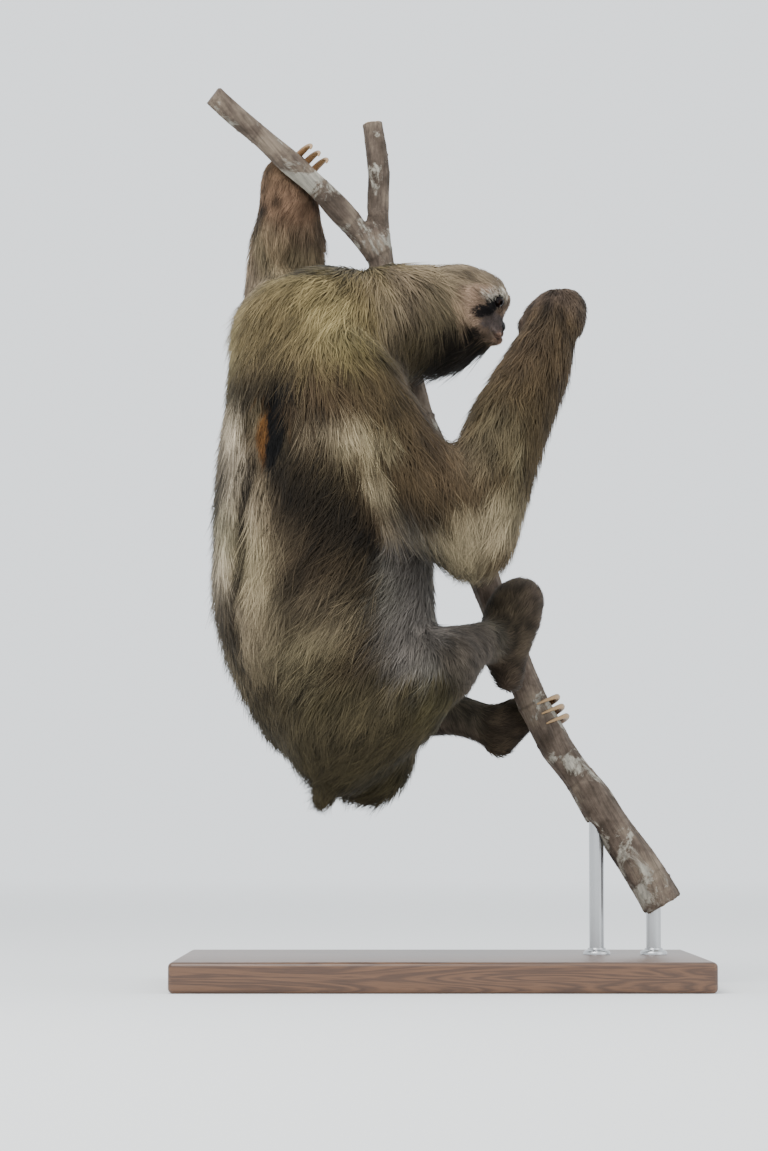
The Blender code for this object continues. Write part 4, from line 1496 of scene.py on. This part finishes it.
def make_perch():
    piece = new_piece("stem_bark", as_mesh("stem_bark", merged_copy("perch_stem")))
    remeshed(piece, 1.5 * MM, 3)
    data = piece.data
    places, normals = places_of(data), normals_of(data)
    stem, branch = centre_lines(places)
    by_stem, by_branch = on_limb(places, stem), on_limb(places, branch)
    nearer = (by_branch[0] < by_stem[0])[:, None]
    radius = np.minimum(by_stem[0], by_branch[0])
    along = np.where(nearer[:, 0], by_branch[1] + 3.0, by_stem[1])
    across = np.where(nearer, by_branch[2], by_stem[2])
    ends = [stem[0], stem[-1], branch[0]]
    at_end = sum(ramp(-np.linalg.norm(places - end, axis=1), -0.024, -0.018) for end in ends)
    flat = ramp(-np.abs((normals * unit(across)).sum(1)), -0.6, -0.3)
    sawn = np.clip(at_end * flat, 0, 1)
    grain = across + np.outer(along * 0.16, [0.3, 0.2, 1.0])
    scar = np.zeros(len(places))
    chance = np.random.default_rng(12)
    for start in np.cumsum(chance.uniform(0.028, 0.075, 80)):
        wave = start + 0.0015 * ripple(across, 0.02, 40)
        scar = np.maximum(scar, np.exp(-((along - wave) / 0.0011) ** 2) * chance.uniform(0.4, 1.0))
    lump = 0.9 * ripple(places, 0.030, 41) + 0.35 * ripple(grain, 0.006, 42)
    warts = ramp(ripple(places, 0.0045, 43), 1.15, 1.7) * 0.7
    lift = (lump + warts + 0.5 * scar) * (1 - sawn) * MM
    move_to(data, places + normals * lift[:, None])
    store(data, "grain", grain, "FLOAT_VECTOR")
    store(data, "radius", radius)
    store(data, "sawn", sawn)
    store(data, "ring_scar", scar * 0.55)
    dress(data, bark_material())
    return piece


perch = make_perch()
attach(perch, "root")
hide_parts("perch_stem")
print("perch:", len(perch.data.polygons), "faces")

# %% [markdown]
# ## The stand: walnut and steel
#
# The base is one board of oiled walnut with eased edges, and the rods are brushed steel. Each rod
# goes into the board through a small turned collar. A plain box becomes wood when its grain runs
# through the block: the same long figure shows on the top and ends on the end face.

# %% Make the stand
def walnut_material():
    """Oiled walnut: brown with darker figure along the board, a low satin gloss."""
    made, tree, shader = new_material("walnut")
    where = add_node(tree, "ShaderNodeTexCoord").outputs["Object"]
    stretched = add_node(
        tree, "ShaderNodeVectorMath", {0: where, 1: (0.09, 1.0, 1.6)}, operation="MULTIPLY"
    )
    figure = add_node(
        tree, "ShaderNodeTexNoise",
        {"Vector": stretched, "Scale": 1 / (24 * MM), "Detail": 5.0, "Distortion": 1.2},
    )
    bands = add_node(tree, "ShaderNodeMath", {0: figure, 1: 60.0}, operation="MULTIPLY")
    bands = add_node(tree, "ShaderNodeMath", {0: bands}, operation="SINE")
    bands = add_node(tree, "ShaderNodeMapRange", {0: bands, 1: -1.0, 2: 1.0, 3: 0.0, 4: 0.55})
    pores = add_node(
        tree, "ShaderNodeTexNoise",
        {"Vector": stretched, "Scale": 1 / (1.6 * MM), "Detail": 2.0},
    )
    both = add_node(tree, "ShaderNodeMath", {0: pores, 1: 0.5, 2: bands}, operation="MULTIPLY_ADD")
    colour = add_node(tree, "ShaderNodeValToRGB", {"Fac": both})
    colour.color_ramp.elements[0].color = (*linear("#6a4a32"), 1)
    colour.color_ramp.elements[1].color = (*linear("#3a2519"), 1)
    tree.links.new(colour.outputs["Color"], shader.inputs["Base Color"])
    bump = add_node(
        tree, "ShaderNodeBump", {"Height": pores, "Strength": 0.25, "Distance": 0.1 * MM}
    )
    tree.links.new(bump.outputs[0], shader.inputs["Normal"])
    shader.inputs["Roughness"].default_value = 0.42
    shader.inputs["Coat Weight"].default_value = 0.25
    shader.inputs["Coat Roughness"].default_value = 0.3
    return made


def steel_material():
    """Brushed steel: metal with fine scratches that run round the rod."""
    made, tree, shader = new_material("brushed_steel")
    where = add_node(tree, "ShaderNodeTexCoord").outputs["Object"]
    squeezed = add_node(
        tree, "ShaderNodeVectorMath", {0: where, 1: (0.05, 0.05, 1.0)}, operation="MULTIPLY"
    )
    lines = add_node(
        tree, "ShaderNodeTexNoise", {"Vector": squeezed, "Scale": 1 / (0.4 * MM), "Detail": 3.0}
    )
    bump = add_node(
        tree, "ShaderNodeBump", {"Height": lines, "Strength": 0.15, "Distance": 0.05 * MM}
    )
    tree.links.new(bump.outputs[0], shader.inputs["Normal"])
    shader.inputs["Base Color"].default_value = (*linear("#b9babb"), 1)
    shader.inputs["Metallic"].default_value = 1.0
    shader.inputs["Roughness"].default_value = 0.32
    return made


def turned(name, centre, outline, material):
    """A ring turned from an outline of (radius, height) points round an upright axis."""
    mesh = bmesh.new()
    rings = [
        [mesh.verts.new((centre[0] + r * math.cos(a), centre[1] + r * math.sin(a), centre[2] + z))
         for a in np.linspace(0, math.tau, 64, endpoint=False)]
        for r, z in outline
    ]
    for lower, upper in zip(rings, rings[1:] + rings[:1]):
        for i in range(64):
            mesh.faces.new((lower[i], lower[i - 1], upper[i - 1], upper[i]))
    bmesh.ops.recalc_face_normals(mesh, faces=mesh.faces)
    data = as_mesh(name, mesh)
    dress(data, material, sharp=40)
    return new_piece(name, data)


def rounded_board():
    low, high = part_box("stand_base")
    mesh = bmesh.new()
    size = high - low
    bmesh.ops.create_cube(
        mesh, matrix=Matrix.Translation((low + high) / 2) @ Matrix.Diagonal((*size, 1))
    )
    bmesh.ops.bevel(mesh, geom=mesh.edges[:], offset=4 * MM, segments=5, profile=0.5,
                    affect="EDGES")
    data = as_mesh("base_board", mesh)
    dress(data, walnut_material(), sharp=50)
    return new_piece("base_board", data)


# The collar's outline in mm: how far it stands out from the rod, and the height over the board.
COLLAR = [(0.3, 0.1), (5, 0.1), (5, 2), (4, 3.2), (1.6, 4.2), (1.2, 5.4), (0.3, 5.6)]
board = rounded_board()
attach(board, "root")
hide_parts("stand_base")
steel = steel_material()
for number in (1, 2):
    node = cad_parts[f"stand_rod_{number}"]
    low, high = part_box(f"stand_rod_{number}")
    rod_radius = (high.x - low.x) / 2
    board_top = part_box("stand_base")[1].z
    foot = ((low.x + high.x) / 2, (low.y + high.y) / 2, board_top)
    outline = [(rod_radius + wide * MM, high_up * MM) for wide, high_up in COLLAR]
    collar = turned(f"rod_collar_{number}", foot, outline, steel)
    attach(collar, "root")
    for slot in node.material_slots:
        slot.material = steel
print("stand: board, collars and rods")

# %% [markdown]
# ## Floor, light and camera
#
# The stage is a pale floor under a pale sky-like light with one large soft lamp, as for a museum's
# catalogue. The camera stands low and looks up a little, so the animal is seen from below and
# behind its right shoulder.

# %% Stage
SKY = 1.85
CAMERA_DISTANCE = 3.0
CAMERA_TILT = math.radians(-4)
FRAME_HEIGHT = 0.9208
LOOK_AT = Vector((-0.045, -0.045, 0.328))


def stage():
    mesh = bmesh.new()
    bmesh.ops.create_circle(mesh, cap_ends=True, segments=96, radius=40)
    data = as_mesh("floor", mesh)
    floor = new_piece("floor", data)
    made, tree, shader = new_material("pale_floor")
    shader.inputs["Base Color"].default_value = (*linear("#e6e7e6"), 1)
    shader.inputs["Roughness"].default_value = 0.9
    where = add_node(tree, "ShaderNodeTexCoord")
    away = add_node(
        tree, "ShaderNodeVectorMath", {0: where.outputs["Object"]}, operation="LENGTH"
    )
    glow = add_node(
        tree, "ShaderNodeMapRange", {0: away.outputs["Value"], 1: 0.6, 2: 9.0, 3: 0.0, 4: 1.0},
        interpolation_type="SMOOTHERSTEP",
    )
    bright = add_node(tree, "ShaderNodeEmission", {"Strength": SKY})
    bright.inputs["Color"].default_value = (*linear("#e9eef2"), 1)
    mixed = add_node(tree, "ShaderNodeMixShader", {0: glow, 1: shader, 2: bright})
    tree.links.new(mixed.outputs[0], tree.nodes["Material Output"].inputs["Surface"])
    data.materials.append(made)

    world = bpy.data.worlds.new("studio")
    bpy.context.scene.world = world
    world.use_nodes = True
    sky = world.node_tree.nodes["Background"]
    sky.inputs["Color"].default_value = (*linear("#e9eef2"), 1)
    sky.inputs["Strength"].default_value = SKY
    for name, place, size, power in (
        ("key", (-0.9, -1.6, 2.4), 1.6, 75),
        ("fill", (1.9, -1.2, 1.0), 1.4, 9),
    ):
        light = bpy.data.lights.new(name, "AREA")
        light.size = size
        light.energy = power
        lamp = new_piece(name, light)
        lamp.location = place
        lamp.rotation_euler = (LOOK_AT - Vector(place)).to_track_quat("-Z", "Y").to_euler()


def camera():
    lens = bpy.data.cameras.new("camera")
    lens.sensor_fit = "VERTICAL"
    lens.sensor_height = 24
    lens.lens = 24 * CAMERA_DISTANCE / FRAME_HEIGHT
    view = new_piece("camera", lens)
    back = Vector((0, -math.cos(CAMERA_TILT), math.sin(CAMERA_TILT)))
    view.location = LOOK_AT + back * CAMERA_DISTANCE
    view.rotation_euler = (-back).to_track_quat("-Z", "Y").to_euler()
    bpy.context.scene.camera = view


stage()
camera()
